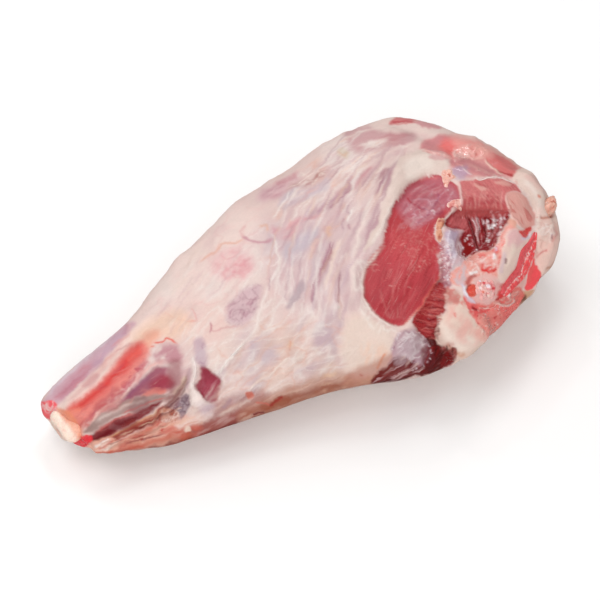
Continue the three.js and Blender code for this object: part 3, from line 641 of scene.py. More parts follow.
rumpMarks = filled([
    # fat and red strips over the top edge
    area([372, 122, 398, 114, 430, 118, 476, 134, 500, 146, 492, 150, 460, 139, 421, 133, 380, 131],
        0xecd4cc, 6, 0.9),
    area([388, 123, 396, 117, 404, 115, 413, 117, 420, 121, 412, 124, 398, 125], 0xd47476, 2.6, 0.92,
        lean=0.5, mottle=(16, 2, 6, -1.2, 0)),
    line([391, 122.5, 402, 122, 414, 122.5], 0xbe464e, 1.1, 0.8),
    area([414, 123, 424, 121, 436, 124, 442, 128, 430, 129, 420, 127], 0xd8969a, 3, 0.85, lean=0.3),
    # chump
    area([420, 151, 426, 141, 438, 136, 452, 135, 466, 139, 482, 141, 493, 146, 510, 158, 526, 171, 517, 177,
        500, 178, 480, 178, 462, 176, 450, 166, 448, 158, 434, 154], 0xe09492, 7, 0.95, lean=0.4),
    area([421, 150, 427, 141, 440, 136, 450, 140, 448, 152, 434, 153], 0xd48c90, 5, 0.8, mottle=(14, 3, 30,
        -1.2, 0.2)),
    area([440, 148, 446, 139, 462, 140, 480, 142, 490, 148, 490, 156, 474, 158, 452, 157], 0xf27470, 8, 0.85,
        lean=0.5, wet=0.35, mottle=(9, 4, 150, -1.2, 0.1)),
    # painted highlight: a bright pink wet patch with a whiter web over its middle
    area([453, 153, 458, 148, 467, 146, 475, 152, 473, 157, 463, 158.5, 455, 157], 0xfcb2aa, 5, 0.9, wet=0.6,
        lift=0.6, mottle=(6, 4, 20, -1.6, 0)),
    area([452, 152, 458, 146, 470, 144, 484, 146, 488, 154, 474, 159, 458, 160], 0xfeded6, 4, 0.7, wet=0.8,
        web=(7, 4, 20, 4), lift=0.4),
    area([474, 146, 482, 143, 491, 148, 488, 156, 478, 154], 0xf2aa9e, 4, 0.75, mottle=(6, 3, 150, -0.7,
        0.3), lift=0.3),
    line([468, 147.5, 472, 150, 475, 152], 0xd63c3e, 1, 0.85),
    line([475, 154.5, 478, 156], 0xce3236, 1.2, 0.8),
    line([456, 159, 468, 159, 486, 158.5], 0xf6c4b8, 1.1, 0.8, lift=0.5),
    area([449, 162, 457, 157.5, 470, 160, 480, 164, 492, 170, 504, 176, 492, 178, 478, 174, 462, 167],
        0xd2888c, 5, 0.9, lift=-0.3, mottle=(20, 2.4, -26, -1.4, 0)),
    line([466, 164, 482, 170, 498, 177], 0xe2a4a0, 1.4, 0.7),
    area([485, 158.5, 491, 154, 502, 153, 512, 162, 524, 171, 517, 176, 503, 172.5, 495, 171, 488, 163],
        0xde7674, 4.5, 0.92, lean=0.7, wet=0.3, grain=-30),
    line([496, 171.5, 503, 172.8, 517, 176], 0xb0282e, 1.1, 0.85),
    line([485.5, 159.5, 490, 167, 496, 171.5, 503, 175], 0xf4cec0, 1.1, 0.85, lift=0.4),
    area([484, 142, 500, 150, 516, 162, 528, 172, 524, 173, 508, 160, 490, 150], 0xe8b0a6, 3, 0.8),
    area([453, 168, 460, 165, 468, 168, 470, 175, 462, 178, 455, 176], 0xbea0b8, 6, 0.8, wet=0.5,
        ragged=1.6),
    line([463, 168, 467, 171, 473, 175], 0xe8cece, 1, 0.7, lift=0.4),
    # band of fat between the thigh and the bare lean
    area([395, 168, 399, 158, 410, 153, 424, 150, 430, 156, 438, 161, 445, 159, 449, 164, 442, 170, 430, 175,
        417, 180, 405, 188, 401, 197, 396, 202, 388, 218, 382, 232, 372, 246, 364, 250, 376, 226, 384, 200,
        390, 184], 0xe8d2c8, 3.5, 0.95, lift=0.9),
    area([404, 166, 414, 158, 428, 158, 434, 166, 420, 174, 408, 180], 0xf4e5db, 8, 0.7),
    line([424, 151, 434, 153.5, 443, 155, 450, 157], 0xf0c8c0, 1.2, 0.8, lift=0.8),
    area([428, 157, 438, 155, 447, 158, 443, 161, 434, 161], 0xdeaeac, 2.4, 0.85, lift=-0.3),
    line([396, 198, 388, 214, 381, 230, 372, 246], 0xf8eae2, 1.8, 0.7, lift=0.5),
    area([384, 196, 392, 186, 398, 190, 394, 206, 386, 222, 380, 224], 0xf0dad2, 5, 0.5, web=(14, 6, 66, 5),
        lift=0.3),
    # big bare muscle
    area([404, 190, 412, 183, 424, 177, 434, 174, 444, 178, 456, 184, 460, 198, 450, 212, 437, 222, 434, 230,
        437, 242, 443, 248, 437, 254, 439, 268, 437, 284, 422, 304, 405, 322, 400, 326.5, 391, 325, 379, 319,
        371, 310, 365, 298, 362, 284, 364, 270, 371, 257, 382, 245, 387, 230, 391, 214, 398, 200], 0xc2464e,
        2, 0.98, lean=1, wet=0.22, grain=62, lift=-0.8, ragged=1.2),
    area([366, 276, 382, 268, 396, 280, 402, 300, 394, 322, 380, 318, 368, 304], 0xb23e46, 18, 0.75, lean=1),
    area([396, 226, 424, 228, 434, 246, 430, 268, 408, 262, 388, 250], 0xce5256, 16, 0.6, lean=1),
    area([372, 300, 380, 258, 404, 232, 432, 244, 432, 280, 402, 320], 0xa8343a, 12, 0.55, lean=1,
        mottle=(34, 2.2, 58, 0.05, 0.6)),
    area("same", 0xde7a76, 12, 0.45, lean=1, mottle=(26, 1.6, 58, 0.25, 0.8)),
    area([394, 232, 410, 222, 436, 236, 436, 262, 410, 270], 0xe8aaa0, 8, 0.35, web=(9, 3, 50, 16)),
    line([376, 262, 372, 268, 376, 272], 0xe2b4aa, 0.9, 0.6),
    # silverskin over its upper end
    area([402, 194, 410, 186, 420, 180, 432, 176, 442, 180, 454, 186, 458, 192, 459, 199, 446.3, 208, 436,
        217, 428, 222.5, 416, 228, 408, 224, 400, 214, 397, 206], 0xbe6c78, 9, 0.88, lean=0.6, wet=0.35,
        grain=-40),
    area([404, 192, 420, 181, 436, 178, 446, 184, 430, 194, 410, 204], 0xc6646e, 8, 0.6, mottle=(14, 3, 28,
        -0.6, 0.4)),
    area([400, 210, 416, 196, 440, 190, 456, 194, 446, 206, 428, 222, 410, 226], 0xdeb0bc, 8, 0.6, web=(12,
        7, 36, 9), lift=0.2),
    area([400, 214, 412, 206, 430, 208, 424, 224, 406, 234, 398, 226], 0xdeb6be, 7, 0.55, web=(9, 6, 60, 9)),
    line([430, 211, 420, 207, 410, 202], 0x964668, 0.9, 0.7),
    line([430, 211, 424, 219, 416, 225], 0xa04c68, 0.8, 0.6),
    line([430, 211, 436, 202, 438, 192], 0x9e4c6a, 0.9, 0.6),
    line([430, 211, 438, 214, 444, 212], 0xa03c54, 0.8, 0.6),
    line([405, 196, 414, 204, 424, 210], 0xb02e3c, 1.1, 0.8),
    line([418, 180, 428, 177, 438, 178], 0xe27e82, 1.6, 0.7),
    line([429, 212, 433, 211, 433, 214], 0xf0d6da, 1, 0.8),
    line([384, 246, 374, 257, 365.5, 269, 362, 284, 365, 299, 372, 312, 384, 322, 398, 329], 0xf8e8de, 1.6,
        0.85, lift=0.8, lean=0),
    area([356, 262, 366, 262, 364, 290, 372, 314, 396, 330, 388, 336, 364, 322, 354, 292], 0xf8ece4, 6, 0.7,
        web=(12, 5, 80, 4), lift=0.4),
    # striated strip beside it
    area([446, 283.7, 450, 297.5, 444, 306.6, 445, 311.2, 438, 320.4, 437, 342, 421.8, 342, 417, 330, 412,
        322, 416, 312, 425, 300.5, 437, 283.7], 0xa6282e, 3, 0.97, lean=1, wet=0.35, grain=-10, lift=-1.2),
    area([430, 292, 446, 288, 448, 300, 438, 318, 434, 342, 420, 340, 416, 318], 0xce6864, 3, 0.6, lean=0.8,
        mottle=(16, 1.3, -14, 0.1, 0.6), lift=0.5),
    area("same", 0x70141c, 3, 0.75, lean=1, mottle=(18, 1.6, -10, 0.15, 0.5)),
    line([442, 270, 436, 284, 424, 301, 412, 316, 402, 326], 0xe27064, 1, 0.8, lift=0.6),
    line([440, 262, 442, 276, 434, 290], 0x842028, 2, 0.7, lift=-0.6, wet=0.5),
    area([416, 345, 430, 336, 440, 338, 458, 346, 459, 357, 440, 370, 424, 374, 412, 364], 0x5c0000, 3.5,
        0.98, lean=1, wet=0.05, lift=-0.9, grain=40),
    area([426, 352, 446, 344, 457, 350, 440, 366, 428, 368], 0x7c0e0e, 4, 0.4, lean=1, mottle=(14, 2, 30,
        -0.1, 0.4)),
    area([396, 338, 402, 331, 412, 329, 419, 334, 428, 344, 432, 352, 426, 362, 412, 369, 400, 364, 392,
        352], 0xbc98a2, 6, 0.92, lift=0.6, wet=0.3),
    area("same", 0xa07884, 4, 0.75, mottle=(7, 3, 40, 0.05, 0.5)),
    area([398, 336, 416, 332, 428, 346, 420, 362, 402, 360], 0xf0e6e6, 5, 0.7, web=(9, 5, 40, 5), lift=0.4),
    area([370, 383, 380, 372, 390, 362, 400, 356, 414, 364, 427, 371, 410, 379, 388, 384], 0x742222, 3.5,
        0.96, ragged=1.5, wet=0.3),
    area("same", 0xd6b0b2, 3.5, 0.65, mottle=(22, 1.8, 28, 0.25, 0.6), lift=0.3),
    area([374, 383, 390, 372, 406, 366, 424, 371, 404, 380], 0x541014, 3.5, 0.85, mottle=(22, 2.2, 24, 0.0,
        0.5)),
    # upper lean and the seam over it
    area([459.6, 181, 460, 195, 461, 209, 470, 213, 480, 213, 490, 212, 500, 211, 509, 214, 508, 203.6, 508,
        194, 514, 191.5, 521, 192.5, 514.8, 184.5, 506.8, 180, 497.9, 178, 487, 179, 475.5, 180], 0xd67676,
        2, 0.97, lean=1, wet=0.35, grain=-50, lift=0.3),
    area([462, 198, 480, 200, 504, 200, 506, 212, 484, 214, 463, 212], 0xb84c52, 8, 0.75, lean=1),
    area([462, 182, 484, 182, 506, 184, 506, 206, 480, 208, 462, 204], 0xb4464a, 5, 0.4, lean=1, mottle=(8,
        3, -20, 0.0, 0.6)),
    area("same", 0xe8a096, 5, 0.4, lean=1, mottle=(5, 2, -30, 0.1, 0.7)),
    # a pale triangle, then a pale pink streak under the seam that is a painted highlight
    area([474, 183.5, 481, 185.5, 487, 188, 482, 190, 477, 187], 0xecb0a6, 2, 0.85, lift=0.6),
    area([496, 181, 504, 181, 511, 185, 506, 187, 498, 184], 0xeaaca2, 2.4, 0.8, lift=0.4),
    line([475.4, 178.6, 480.2, 180, 487.8, 178.1, 497.4, 177.2, 505, 179.6, 514, 183.4], 0xf4dad4, 1, 0.9,
        lift=0.6),
    line([459, 180, 460, 192, 461.5, 206], 0xf0cec8, 1.3, 0.85, lift=0.7),
    # rim of fat
    area([513, 177, 519.3, 187, 526.4, 194, 531.8, 203.4, 535.5, 214.3, 536.5, 221.4, 536.6, 229.5, 536.4,
        239.3, 535.4, 252, 537.5, 263, 541.5, 275, 560, 268, 572, 230, 560, 195, 536, 172, 524, 168],
        0xeed4c8, 3, 0.96, lift=0.9),
    line([522, 180, 534, 190, 540, 204, 539, 226, 540, 250], 0xf6e6dd, 3.4, 0.7, lift=0.4),
    area([526, 176, 540, 176, 552, 188, 548, 194, 536, 186], 0xe4b8b0, 6, 0.7),
    area([538, 236, 548, 240, 560, 236, 560, 262, 548, 276, 538, 272], 0xffd2c6, 9, 0.9, mottle=(12, 5, 50,
        -1.2, 0.2)),
    area([536, 196, 545, 210, 562, 208, 562, 236, 542, 232], 0xeac2b8, 9, 0.6, mottle=(12, 5, 70, -0.6,
        0.5)),
    line([538, 195, 541, 196.5], 0xde8068, 1.4, 0.8),
    # painted shadow under the flap
    line([541, 217, 546, 217, 552, 215], 0xc87864, 1.6, 0.75, lift=-1),
    # painted highlight: a white wet sparkle on the rim
    area([540, 226, 548, 224, 554, 230, 553, 240, 545, 240], 0xfef0ea, 5, 0.85, wet=0.9, web=(7, 4, 60, 4),
        lift=0.6),
    area([537, 222, 545, 220, 556, 224, 556, 246, 540, 248], 0xe2aca0, 6, 0.6, web=(10, 6, 20, 6),
        lift=-0.4),
    line([551, 234, 552, 239], 0xbe8c92, 1.1, 0.8, lift=-0.4),
    line([536.6, 258, 542, 253, 548, 249.4], 0xea8e8a, 1.2, 0.85, lift=-0.3),
    line([552, 242, 555, 236, 556, 230], 0xe8a098, 1.6, 0.7),
    area([538, 262, 548, 256, 556, 258, 552, 268, 543, 274], 0xf6d0c4, 5, 0.7),
    line([546, 271, 553, 265, 559, 257], 0xc47c5c, 1.6, 0.7),
    # pale oval of gristle
    area([507.4, 194, 512.7, 192, 519.4, 192.6, 524.6, 195.8, 530.4, 204.4, 535, 215, 535, 224.5, 531.8, 227,
        526, 229.3, 519.4, 225.5, 515.6, 221.7, 510.8, 214, 508.6, 206.4, 507, 198.7], 0xe6a89e, 2, 0.96,
        lift=0.5, lean=0.4, wet=0.3, grain=-64),
    area([510, 196, 520, 195, 528, 206, 532, 220, 522, 224, 513, 212], 0xcc6864, 4, 0.7, mottle=(14, 1.7,
        -58, 0.0, 0.4)),
    area("same", 0xf0c8ba, 4, 0.6, mottle=(14, 1.5, -62, 0.1, 0.6)),
    line([507.4, 194, 507.4, 202, 510, 213, 515, 221.5, 521, 226.5], 0xf6cec4, 1, 0.85, lift=0.5),
    area([508, 222, 511, 219, 516, 223, 514, 230, 509, 230], 0xf0aa94, 3, 0.85, lift=0.4),
    # wet pit
    area([445, 224.5, 446.2, 218.4, 451, 213.6, 457.2, 208.8, 463, 209.4, 469.3, 210.6, 483.6, 211, 494.3,
        210.6, 503, 209.4, 510, 213, 508.4, 219, 504.6, 226, 502.4, 232, 497.4, 239, 493.6, 246.5, 487.8,
        251.3, 483, 250.4, 476.4, 253.6, 467.7, 259.2, 458, 252.3, 457, 241, 460, 234, 462.4, 229.4, 452.3,
        228.4], 0x8c1e26, 2, 0.98, lean=1, wet=0.9, grain=66, lift=-1.4, ragged=0.8),
    area([462, 212, 472, 212, 482, 215, 482, 236, 474, 250, 470, 232], 0xb04246, 6, 0.65, lean=1, wet=0.9),
    area([484, 212, 500, 212, 506, 216, 498, 236, 488, 248, 482, 232], 0x820e18, 6, 0.8, lean=1, wet=1),
    area([458, 242, 464, 238, 472, 246, 474, 254, 467, 258, 459, 252], 0x921a22, 5, 0.8, lean=1, wet=1),
    area([448, 222, 456, 212, 464, 212, 468, 222, 464, 234, 458, 227, 450, 227], 0xd47072, 4, 0.85, lean=1,
        wet=0.9, mottle=(8, 2.4, 30, -0.8, 0.3)),
    line([467.4, 211.6, 470.2, 221.4, 473, 232, 475.5, 243.8, 478.3, 250], 0x540810, 1.2, 0.92, lift=-1.5,
        wet=1),
    # painted highlight: a pale streak down the wet pit
    line([472.5, 217, 476.4, 227.4, 476.2, 234, 478.6, 243], 0xf0ced0, 0.9, 0.8, lift=1, wet=1),
    line([509, 214.6, 506, 223.6, 501.4, 231], 0x960e16, 1.4, 0.9, lift=-0.8, wet=1),
    # painted highlights: white glints on the wet pit
    line([492, 213, 495, 221, 497, 226], 0xfcecee, 1, 0.85, lift=0.6, wet=1),
    line([499, 213, 501, 219, 500, 226], 0xfce8ec, 1, 0.8, lift=0.6, wet=1),
    line([476, 216, 479, 226, 478, 236], 0xfae0e2, 1, 0.75, lift=0.6, wet=1),
    area([484, 212, 503, 212, 506, 218, 498, 238, 488, 247, 482, 232], 0xce787e, 4, 0.5, wet=1, web=(6, 3,
        58, 9), lift=0.7),
    area([460, 210, 509, 209, 508, 214, 484, 216, 462, 216], 0xb05054, 3, 0.7, wet=0.8, web=(4, 3, 20, 4),
        lift=0.4),
    # bluish membrane along the seam
    area([445, 226, 452.3, 229, 461, 229.6, 463, 231, 459.5, 236.6, 457.5, 243.8, 458.2, 252.7, 466, 260,
        464, 266, 456.8, 266, 451.5, 272, 451.4, 284, 445, 288, 443, 272, 442, 256, 441.4, 246.4, 446, 243,
        443.6, 235.7], 0xd6b4ba, 3, 0.94, lift=0.7, wet=0.8),
    area([447, 230, 458, 231, 455, 246, 456, 256, 448, 258, 445, 240], 0xb0a8c8, 5, 0.55, wet=0.9),
    area([440, 242, 450, 246, 452, 262, 451, 284, 443, 286, 438, 264], 0xb06874, 3.5, 0.8, web=(9, 4, 62, 3),
        wet=1, lift=-0.4),
    # white specks on the wet membrane, painted glints
    area([438, 244, 448, 244, 450, 262, 448, 280, 440, 274], 0xf6e0e2, 3.5, 0.75, mottle=(3.2, 1.8, 50, 0.25,
        0.6), wet=1, lift=0.6),
    area([446, 232, 458, 230, 462, 246, 464, 262, 452, 268, 446, 250], 0xf6eaf0, 4, 0.7, web=(12, 5, 80, 7),
        wet=1, lift=0.5),
    # pink flesh between the pit and the knob
    area([462, 264, 468, 258, 477, 254, 484, 251, 492, 250, 498, 242, 503, 234, 508, 226, 514, 228, 520, 232,
        516, 244, 508, 254, 502, 264, 500, 276, 492, 280, 486, 276, 478, 278, 470, 284, 460, 286, 450, 282,
        452, 272], 0xf6a89c, 3, 0.95, lean=0.3, wet=0.5),
    area([478, 256, 490, 252, 498, 244, 504, 236, 506, 246, 500, 262, 494, 272, 482, 268], 0xe85450, 5, 0.8,
        lean=0.4, mottle=(6, 3, 50, -0.3, 0.3)),
    area([468, 262, 482, 256, 494, 256, 498, 268, 488, 276, 472, 278], 0xfee8e2, 5, 0.8, web=(7, 4, 40, 5),
        lift=0.5),
    area([452, 268, 462, 264, 468, 268, 466, 280, 456, 284], 0xd6c4c8, 5, 0.85, mottle=(6, 3, 80, -0.7,
        0.3)),
    line([481, 269, 486, 271, 490, 273], 0xe22c30, 2.2, 0.95, lean=0.6, wet=0.6),
    line([492, 271.5, 495, 269, 497, 267.5], 0xd22c2e, 1.1, 0.85),
    # painted highlights: white glints on the wet flesh
    line([469, 274, 473, 272.4, 477, 271], 0xfffaf8, 1.9, 0.95, wet=1, lift=0.7),
    line([493.6, 254, 494.4, 260.5], 0xfffafa, 1.9, 0.95, wet=1, lift=0.6),
    line([495.4, 247, 495, 252], 0xe2d6ea, 1.4, 0.8, wet=1),
    area([465, 283, 468, 277, 474, 275, 476, 278, 471, 281, 467, 285], 0xb64a48, 3.4, 0.75, lift=-0.6,
        wet=0.6, ragged=1.6),
    area([498, 240, 505, 228, 512, 232, 508, 244, 500, 256], 0xf4beb4, 3, 0.7, mottle=(12, 1.8, 60, -0.2,
        0.5), lift=0.3),
    # band of cartilage
    area([509, 231, 516, 229, 521, 232, 527, 236.5, 532, 232, 528.5, 240.8, 521.3, 249.4, 519, 256, 516.5,
        264, 511, 274, 504, 282, 497, 279, 499, 266, 502, 254, 504, 242], 0xf2d4c8, 2.4, 0.96, lift=1.2),
    area([509, 232, 517, 230, 526, 238, 519, 246, 508, 246], 0xe8b6b8, 5, 0.8),
    line([520, 238, 526, 238, 531, 233], 0xded6e4, 1.8, 0.8, wet=0.6),
    line([506, 250, 503, 262, 501, 274], 0xd8bec6, 2.2, 0.7),
    area([504, 260, 507, 259, 507, 263, 504.4, 264], 0x8c5a60, 1.6, 0.85, lift=-0.5),
    line([514, 242, 511, 254, 506, 268], 0xf4ded0, 2.6, 0.7, lift=0.4),
    area([518.4, 231, 523, 229.6, 530, 226.6, 533, 228, 529, 233, 525, 237.6, 521, 236], 0xde403e, 2, 0.94,
        lean=0.7, wet=0.5, lift=-0.5),
    # flesh beside the sawn bone
    area([531, 258, 526, 273, 524.5, 287, 519.4, 291, 510, 292, 505, 297, 498, 296, 499, 288, 520, 262, 535,
        248, 538, 258], 0xecb6ac, 3, 0.94, lean=0.3, wet=0.4),
    area([533.6, 257, 536, 263.8, 540.6, 275, 538, 282, 531.8, 287.5, 526, 289.5, 526.6, 279, 530, 268.5],
        0xff565c, 2, 0.97, lean=0.3, wet=0.6),
    line([535, 262, 531, 272, 528, 283], 0xf46e68, 1.6, 0.6),
    area([522, 292, 530, 289, 534, 290, 526, 300, 518, 306, 516, 300], 0xce9e7c, 3, 0.9),
    area([520, 296, 525, 294, 526, 299, 520, 304, 517, 302], 0x6e3e2e, 3, 0.85, lift=-0.6),
    # lean under the knob
    area([462, 299, 470, 296, 476, 300, 490.7, 303, 500, 298, 505, 297, 516, 296, 522, 300, 515, 312, 503,
        325, 494, 338, 484, 333, 476, 321, 468.7, 313.5], 0xff7a74, 2.6, 0.96, lean=0.5, wet=0.45, grain=40,
        lift=-0.5),
    area([462, 299, 470, 296, 478, 302, 480, 314, 470, 313], 0xe87874, 4, 0.8, mottle=(6, 3, 30, -1, 0.2)),
    area([470, 306, 500, 306, 514, 304, 500, 326, 490, 332], 0xe85052, 7, 0.7, lean=0.7, mottle=(16, 4, 30,
        -0.8, 0.3)),
    area([480, 308, 500, 308, 508, 314, 494, 332, 484, 324], 0xf6beb4, 4, 0.6, mottle=(4, 1.8, 40, 0.3, 0.6),
        wet=0.9, lift=0.4),
    area([476, 316, 484, 316, 494, 326, 494, 336, 484, 332], 0xf6aca0, 5, 0.8, mottle=(5, 3, 40, -0.6, 0.3),
        wet=0.7, lift=0.4),
    area([476, 296, 482, 300, 490, 301, 498, 298, 508, 288, 520, 286, 524, 294, 516, 303, 503, 305, 494, 307,
        482, 308, 474, 303], 0xf07870, 3, 0.92, lean=0.3, wet=0.7),
    area([494, 286, 500, 284, 506, 286, 512, 290, 510, 298, 502, 302, 496, 302], 0xe43438, 4, 0.9, lean=0.4,
        wet=0.7, mottle=(6, 4, 20, -1.2, 0.1)),
    area([476, 298, 490, 302, 502, 298, 514, 290, 520, 292, 510, 302, 490, 306], 0xfac4b8, 3, 0.75, web=(7,
        4, 10, 4), wet=0.9, lift=0.5),
    line([480, 307.6, 485, 308, 490, 306], 0xfad0c6, 0.9, 0.8, lift=0.6),
    line([496, 304, 502.2, 305, 508, 305, 512.7, 303, 515, 298], 0xfad6ce, 0.9, 0.85, lift=0.7),
    line([497, 298, 500, 298.6], 0xb0161e, 1.6, 0.9, lift=-0.5),
    # painted highlight: a white glint on the red pulp
    line([508.6, 293, 509.6, 297], 0xfcf0ec, 1.5, 0.85, wet=1, lift=0.6),
    line([472, 306, 475, 309, 478, 310], 0x961622, 1.4, 0.85),
    # pad of fat by the knob
    area([448, 288, 460, 294.5, 466, 306, 470, 314, 477, 322, 486, 334, 480, 350, 458, 364, 447, 348, 437.5,
        343, 436, 330, 441, 322, 438, 317.4, 447, 311, 446, 299], 0xeed2c4, 3, 0.96, lift=0.8),
    area([446, 286, 456, 290, 464, 300, 462, 308, 452, 304, 447, 296], 0xe68c84, 4, 0.75, mottle=(5, 3, 40,
        -0.2, 0.4)),
    area([442, 322, 452, 330, 466, 334, 476, 342, 462, 352, 446, 342], 0xf7e4d8, 8, 0.7),
    area([450, 306, 466, 316, 480, 334, 470, 346, 450, 330], 0xeeb2a8, 9, 0.75, mottle=(12, 6, 60, -0.5,
        0.5)),
    line([454.6, 312, 455.4, 318], 0xe8827c, 1.5, 0.75),
    line([446, 344, 456, 352, 466, 356], 0xd6a084, 2.4, 0.7, lift=-0.3),
    area([460, 284, 464, 283, 466, 290, 469, 296, 476, 299, 477, 303, 470, 301, 464, 295], 0xdcd0dc, 3, 0.9,
        lift=0.5, wet=0.6, ragged=1.6),
    line([463, 285, 465, 292, 469, 298], 0xfaf4fa, 0.9, 0.8, lift=0.4, wet=0.7),
    # knob's setting and the blood spot beside it
    area([473, 283, 479, 277, 486, 274, 494, 277, 498, 284, 500, 291, 497, 300, 489, 303, 480, 302, 474,
        294], 0xf0beb8, 4, 0.9, wet=0.5, ragged=2),
    area([466.4, 286.6, 470, 284, 474.6, 286, 477, 291, 475, 296, 470, 296.4, 466.6, 292], 0xe05442, 1.8,
        0.95, wet=0.6, lift=0.4),
    line([466.6, 291, 466.8, 286.6, 470.4, 284], 0xa03832, 1, 0.7),
    # edges and tones of the bare lean
    area([367, 302, 363, 292, 363, 282, 367, 271, 374, 266, 378, 276, 374, 290, 371, 302], 0xbe4a50, 4, 0.7,
        lean=0.6),
    area([392, 220, 404, 214, 420, 228, 424, 240, 412, 246, 398, 236], 0xb83e44, 7, 0.5, lean=0.5),
    area([456, 206, 474, 205, 504, 206, 505, 216, 480, 217, 458, 216], 0xc86260, 4, 0.55, lean=0.4),
    area([452, 134, 470, 134, 492, 148, 494, 158, 478, 158, 458, 148], 0xf6bab0, 7, 0.5),
    area([490, 312, 504, 312, 502, 326, 492, 338, 480, 340, 478, 328], 0xf29e92, 6, 0.5),
    area([444, 290, 456, 290, 458, 302, 446, 304], 0xba6460, 5, 0.5),
    area([396, 352, 408, 340, 420, 338, 418, 350, 408, 362, 396, 364], 0xceb8be, 6, 0.55),
    area([420, 350, 431, 346, 436, 360, 426, 366], 0x76282c, 4, 0.7, lean=0.7),
    area([440, 364, 445, 352, 455, 347, 458, 352, 454, 361, 446, 368], 0x860e18, 3, 0.85, lean=0.5),
    # painted shade along the lower edge of the fat pad
    line([441, 348, 448, 346, 456, 343], 0xce8c84, 2.4, 0.5),
])


finePoints = 8     # on the curve of a fine line


def fan(left, right, count, tints, width, share, length, lift, seed):
    # fine streaks, each part of the way along a curve between two guides and bent a little aside;
    # half width, share and part of the guides' length are drawn from ranges, pale ones stand out
    paleFrom = 555     # sum of the three channels
    draw = np.random.default_rng(seed)
    marks = []
    for _ in range(count):
        begin = draw.uniform(-0.08, 0.9)
        t = np.clip(np.linspace(begin, begin + draw.uniform(*length), finePoints), 0, 1)
        across = draw.uniform(0, 1) + draw.normal(0, 0.03) * np.linspace(-1, 1, finePoints)
        path = mixed(curveThrough(pairs(left), t), curveThrough(pairs(right), t), across[:, None])
        tint = tints[draw.integers(len(tints))]
        outward = 1 if channels(tint).sum() > paleFrom else -1
        marks.append({"path": path, "tint": tint, "fine": True, "width": draw.uniform(*width),
                      "share": draw.uniform(*share), "lift": lift * outward * draw.uniform(0.3, 1)})
    return marks


groundStreaks = [
    *fan([352, 128, 322, 160, 292, 196, 272, 240, 266, 290], [412, 150, 388, 196, 372, 236, 352, 280, 346,
        320], 120, [0xba929e, 0xceb2bc, 0xf4e8e2, 0xe2beaa, 0xf0e0d8, 0xd4a8aa], (0.7, 2), (0.2, 0.55),
        (0.12, 0.4), 0.28, 5),
    *fan([206, 232, 186, 260, 164, 290, 146, 316], [262, 250, 240, 290, 214, 320, 196, 350], 46, [0xf4eae4,
        0xdebeba, 0xd6b2b6, 0xeed6c8], (0.8, 2.2), (0.15, 0.4), (0.15, 0.4), 0.2, 8),
    *fan([262, 292, 244, 340, 212, 388, 182, 420], [352, 330, 310, 372, 262, 398, 222, 416], 50, [0xf0e2d8,
        0xd6bebe, 0xdcb09e, 0xe2c4b4], (1, 2.6), (0.15, 0.38), (0.12, 0.35), 0.3, 11),
    *fan([52, 398, 86, 364, 128, 326], [86, 436, 126, 404, 166, 388], 36, [0xf0bab0, 0xce6064, 0xe08c84,
        0xba606c], (0.8, 2), (0.15, 0.35), (0.1, 0.3), 0.15, 14),
    *fan([96, 440, 130, 424, 172, 402], [110, 450, 150, 440, 204, 424], 46, [0xd6967e, 0x823634, 0xe8baa2,
        0xac5448], (0.6, 1.5), (0.3, 0.65), (0.15, 0.45), 0.4, 17),
]
# streaks over the rump, and painted glints drawn as fine white streaks
rumpStreaksAndGlints = [
    *fan([392, 250, 380, 284, 386, 318], [430, 240, 430, 272, 408, 318], 50, [0xd06868, 0xa4363c, 0xd68480,
        0xb03e44], (0.6, 1.3), (0.2, 0.4), (0.2, 0.6), 0.2, 21),
    *fan([400, 212, 412, 192, 434, 180], [412, 232, 432, 214, 456, 196], 40, [0xce969c, 0xa04e5c, 0xd8aaac,
        0xb05c68], (0.6, 1.3), (0.25, 0.5), (0.2, 0.6), 0.2, 23),
    *fan([418, 302, 428, 306, 444, 304], [420, 338, 430, 339, 438, 338], 30, [0xc45a58, 0x70141c, 0xce6e68],
        (0.6, 1.1), (0.45, 0.8), (0.5, 0.9), 0.5, 25),
    *fan([464, 184, 464, 196, 466, 208], [506, 184, 503, 196, 502, 208], 40, [0xe28e8a, 0xb85056, 0xe8a49c],
        (0.6, 1.2), (0.25, 0.5), (0.3, 0.8), 0.25, 27),
    *fan([472, 214, 477, 232, 480, 246], [500, 214, 500, 226, 492, 240], 30, [0xb04648, 0x600c12, 0xc46060],
        (0.6, 1.2), (0.35, 0.7), (0.3, 0.7), 0.5, 29),
    # painted highlights: white glints on the wet pit, below it and on the membrane
    *fan([485, 213, 484, 226, 483, 244], [507, 213, 504, 228, 494, 244], 22, [0xfff8fa, 0xf6d6da], (0.6,
        1.3), (0.5, 0.98), (0.05, 0.26), 0.6, 36),
    *fan([459, 234, 460, 244, 464, 256], [470, 232, 474, 244, 478, 252], 14, [0xfce8ea, 0xecb4ba], (0.6,
        0.9), (0.6, 0.9), (0.06, 0.2), 0.5, 37),
    *fan([440, 246, 441, 262, 444, 284], [451, 246, 453, 262, 453, 284], 70, [0xfff6f8, 0xfad6d6, 0xba5a64,
        0xf0b4b8], (0.6, 1), (0.6, 0.95), (0.02, 0.07), 0.4, 39),
    # pale and red specks on the lean under the knob; the palest are painted glints
    *fan([466, 302, 476, 318, 488, 334], [506, 306, 504, 314, 498, 328], 46, [0xfcd6ce, 0xf4a096, 0xbe3238],
        (0.6, 1), (0.5, 0.9), (0.03, 0.1), 0.3, 43),
    *fan([376, 252, 370, 276, 384, 312], [438, 236, 432, 270, 404, 318], 26, [0xecb0a8, 0xe29690], (0.4,
        0.6), (0.35, 0.7), (0.008, 0.02), 0.1, 45),
    *fan([370, 380, 386, 366, 398, 354], [402, 380, 416, 372, 426, 366], 30, [0xceaaac, 0x6e282e, 0xa46060,
        0xd6b8b2], (0.6, 1.2), (0.3, 0.6), (0.3, 0.8), 0.3, 31),
    *fan([420, 372, 424, 358, 428, 346], [452, 362, 454, 352, 456, 346], 20, [0x881a1a, 0x400204, 0x962826],
        (0.6, 1.2), (0.35, 0.7), (0.4, 0.9), 0.3, 33),
]


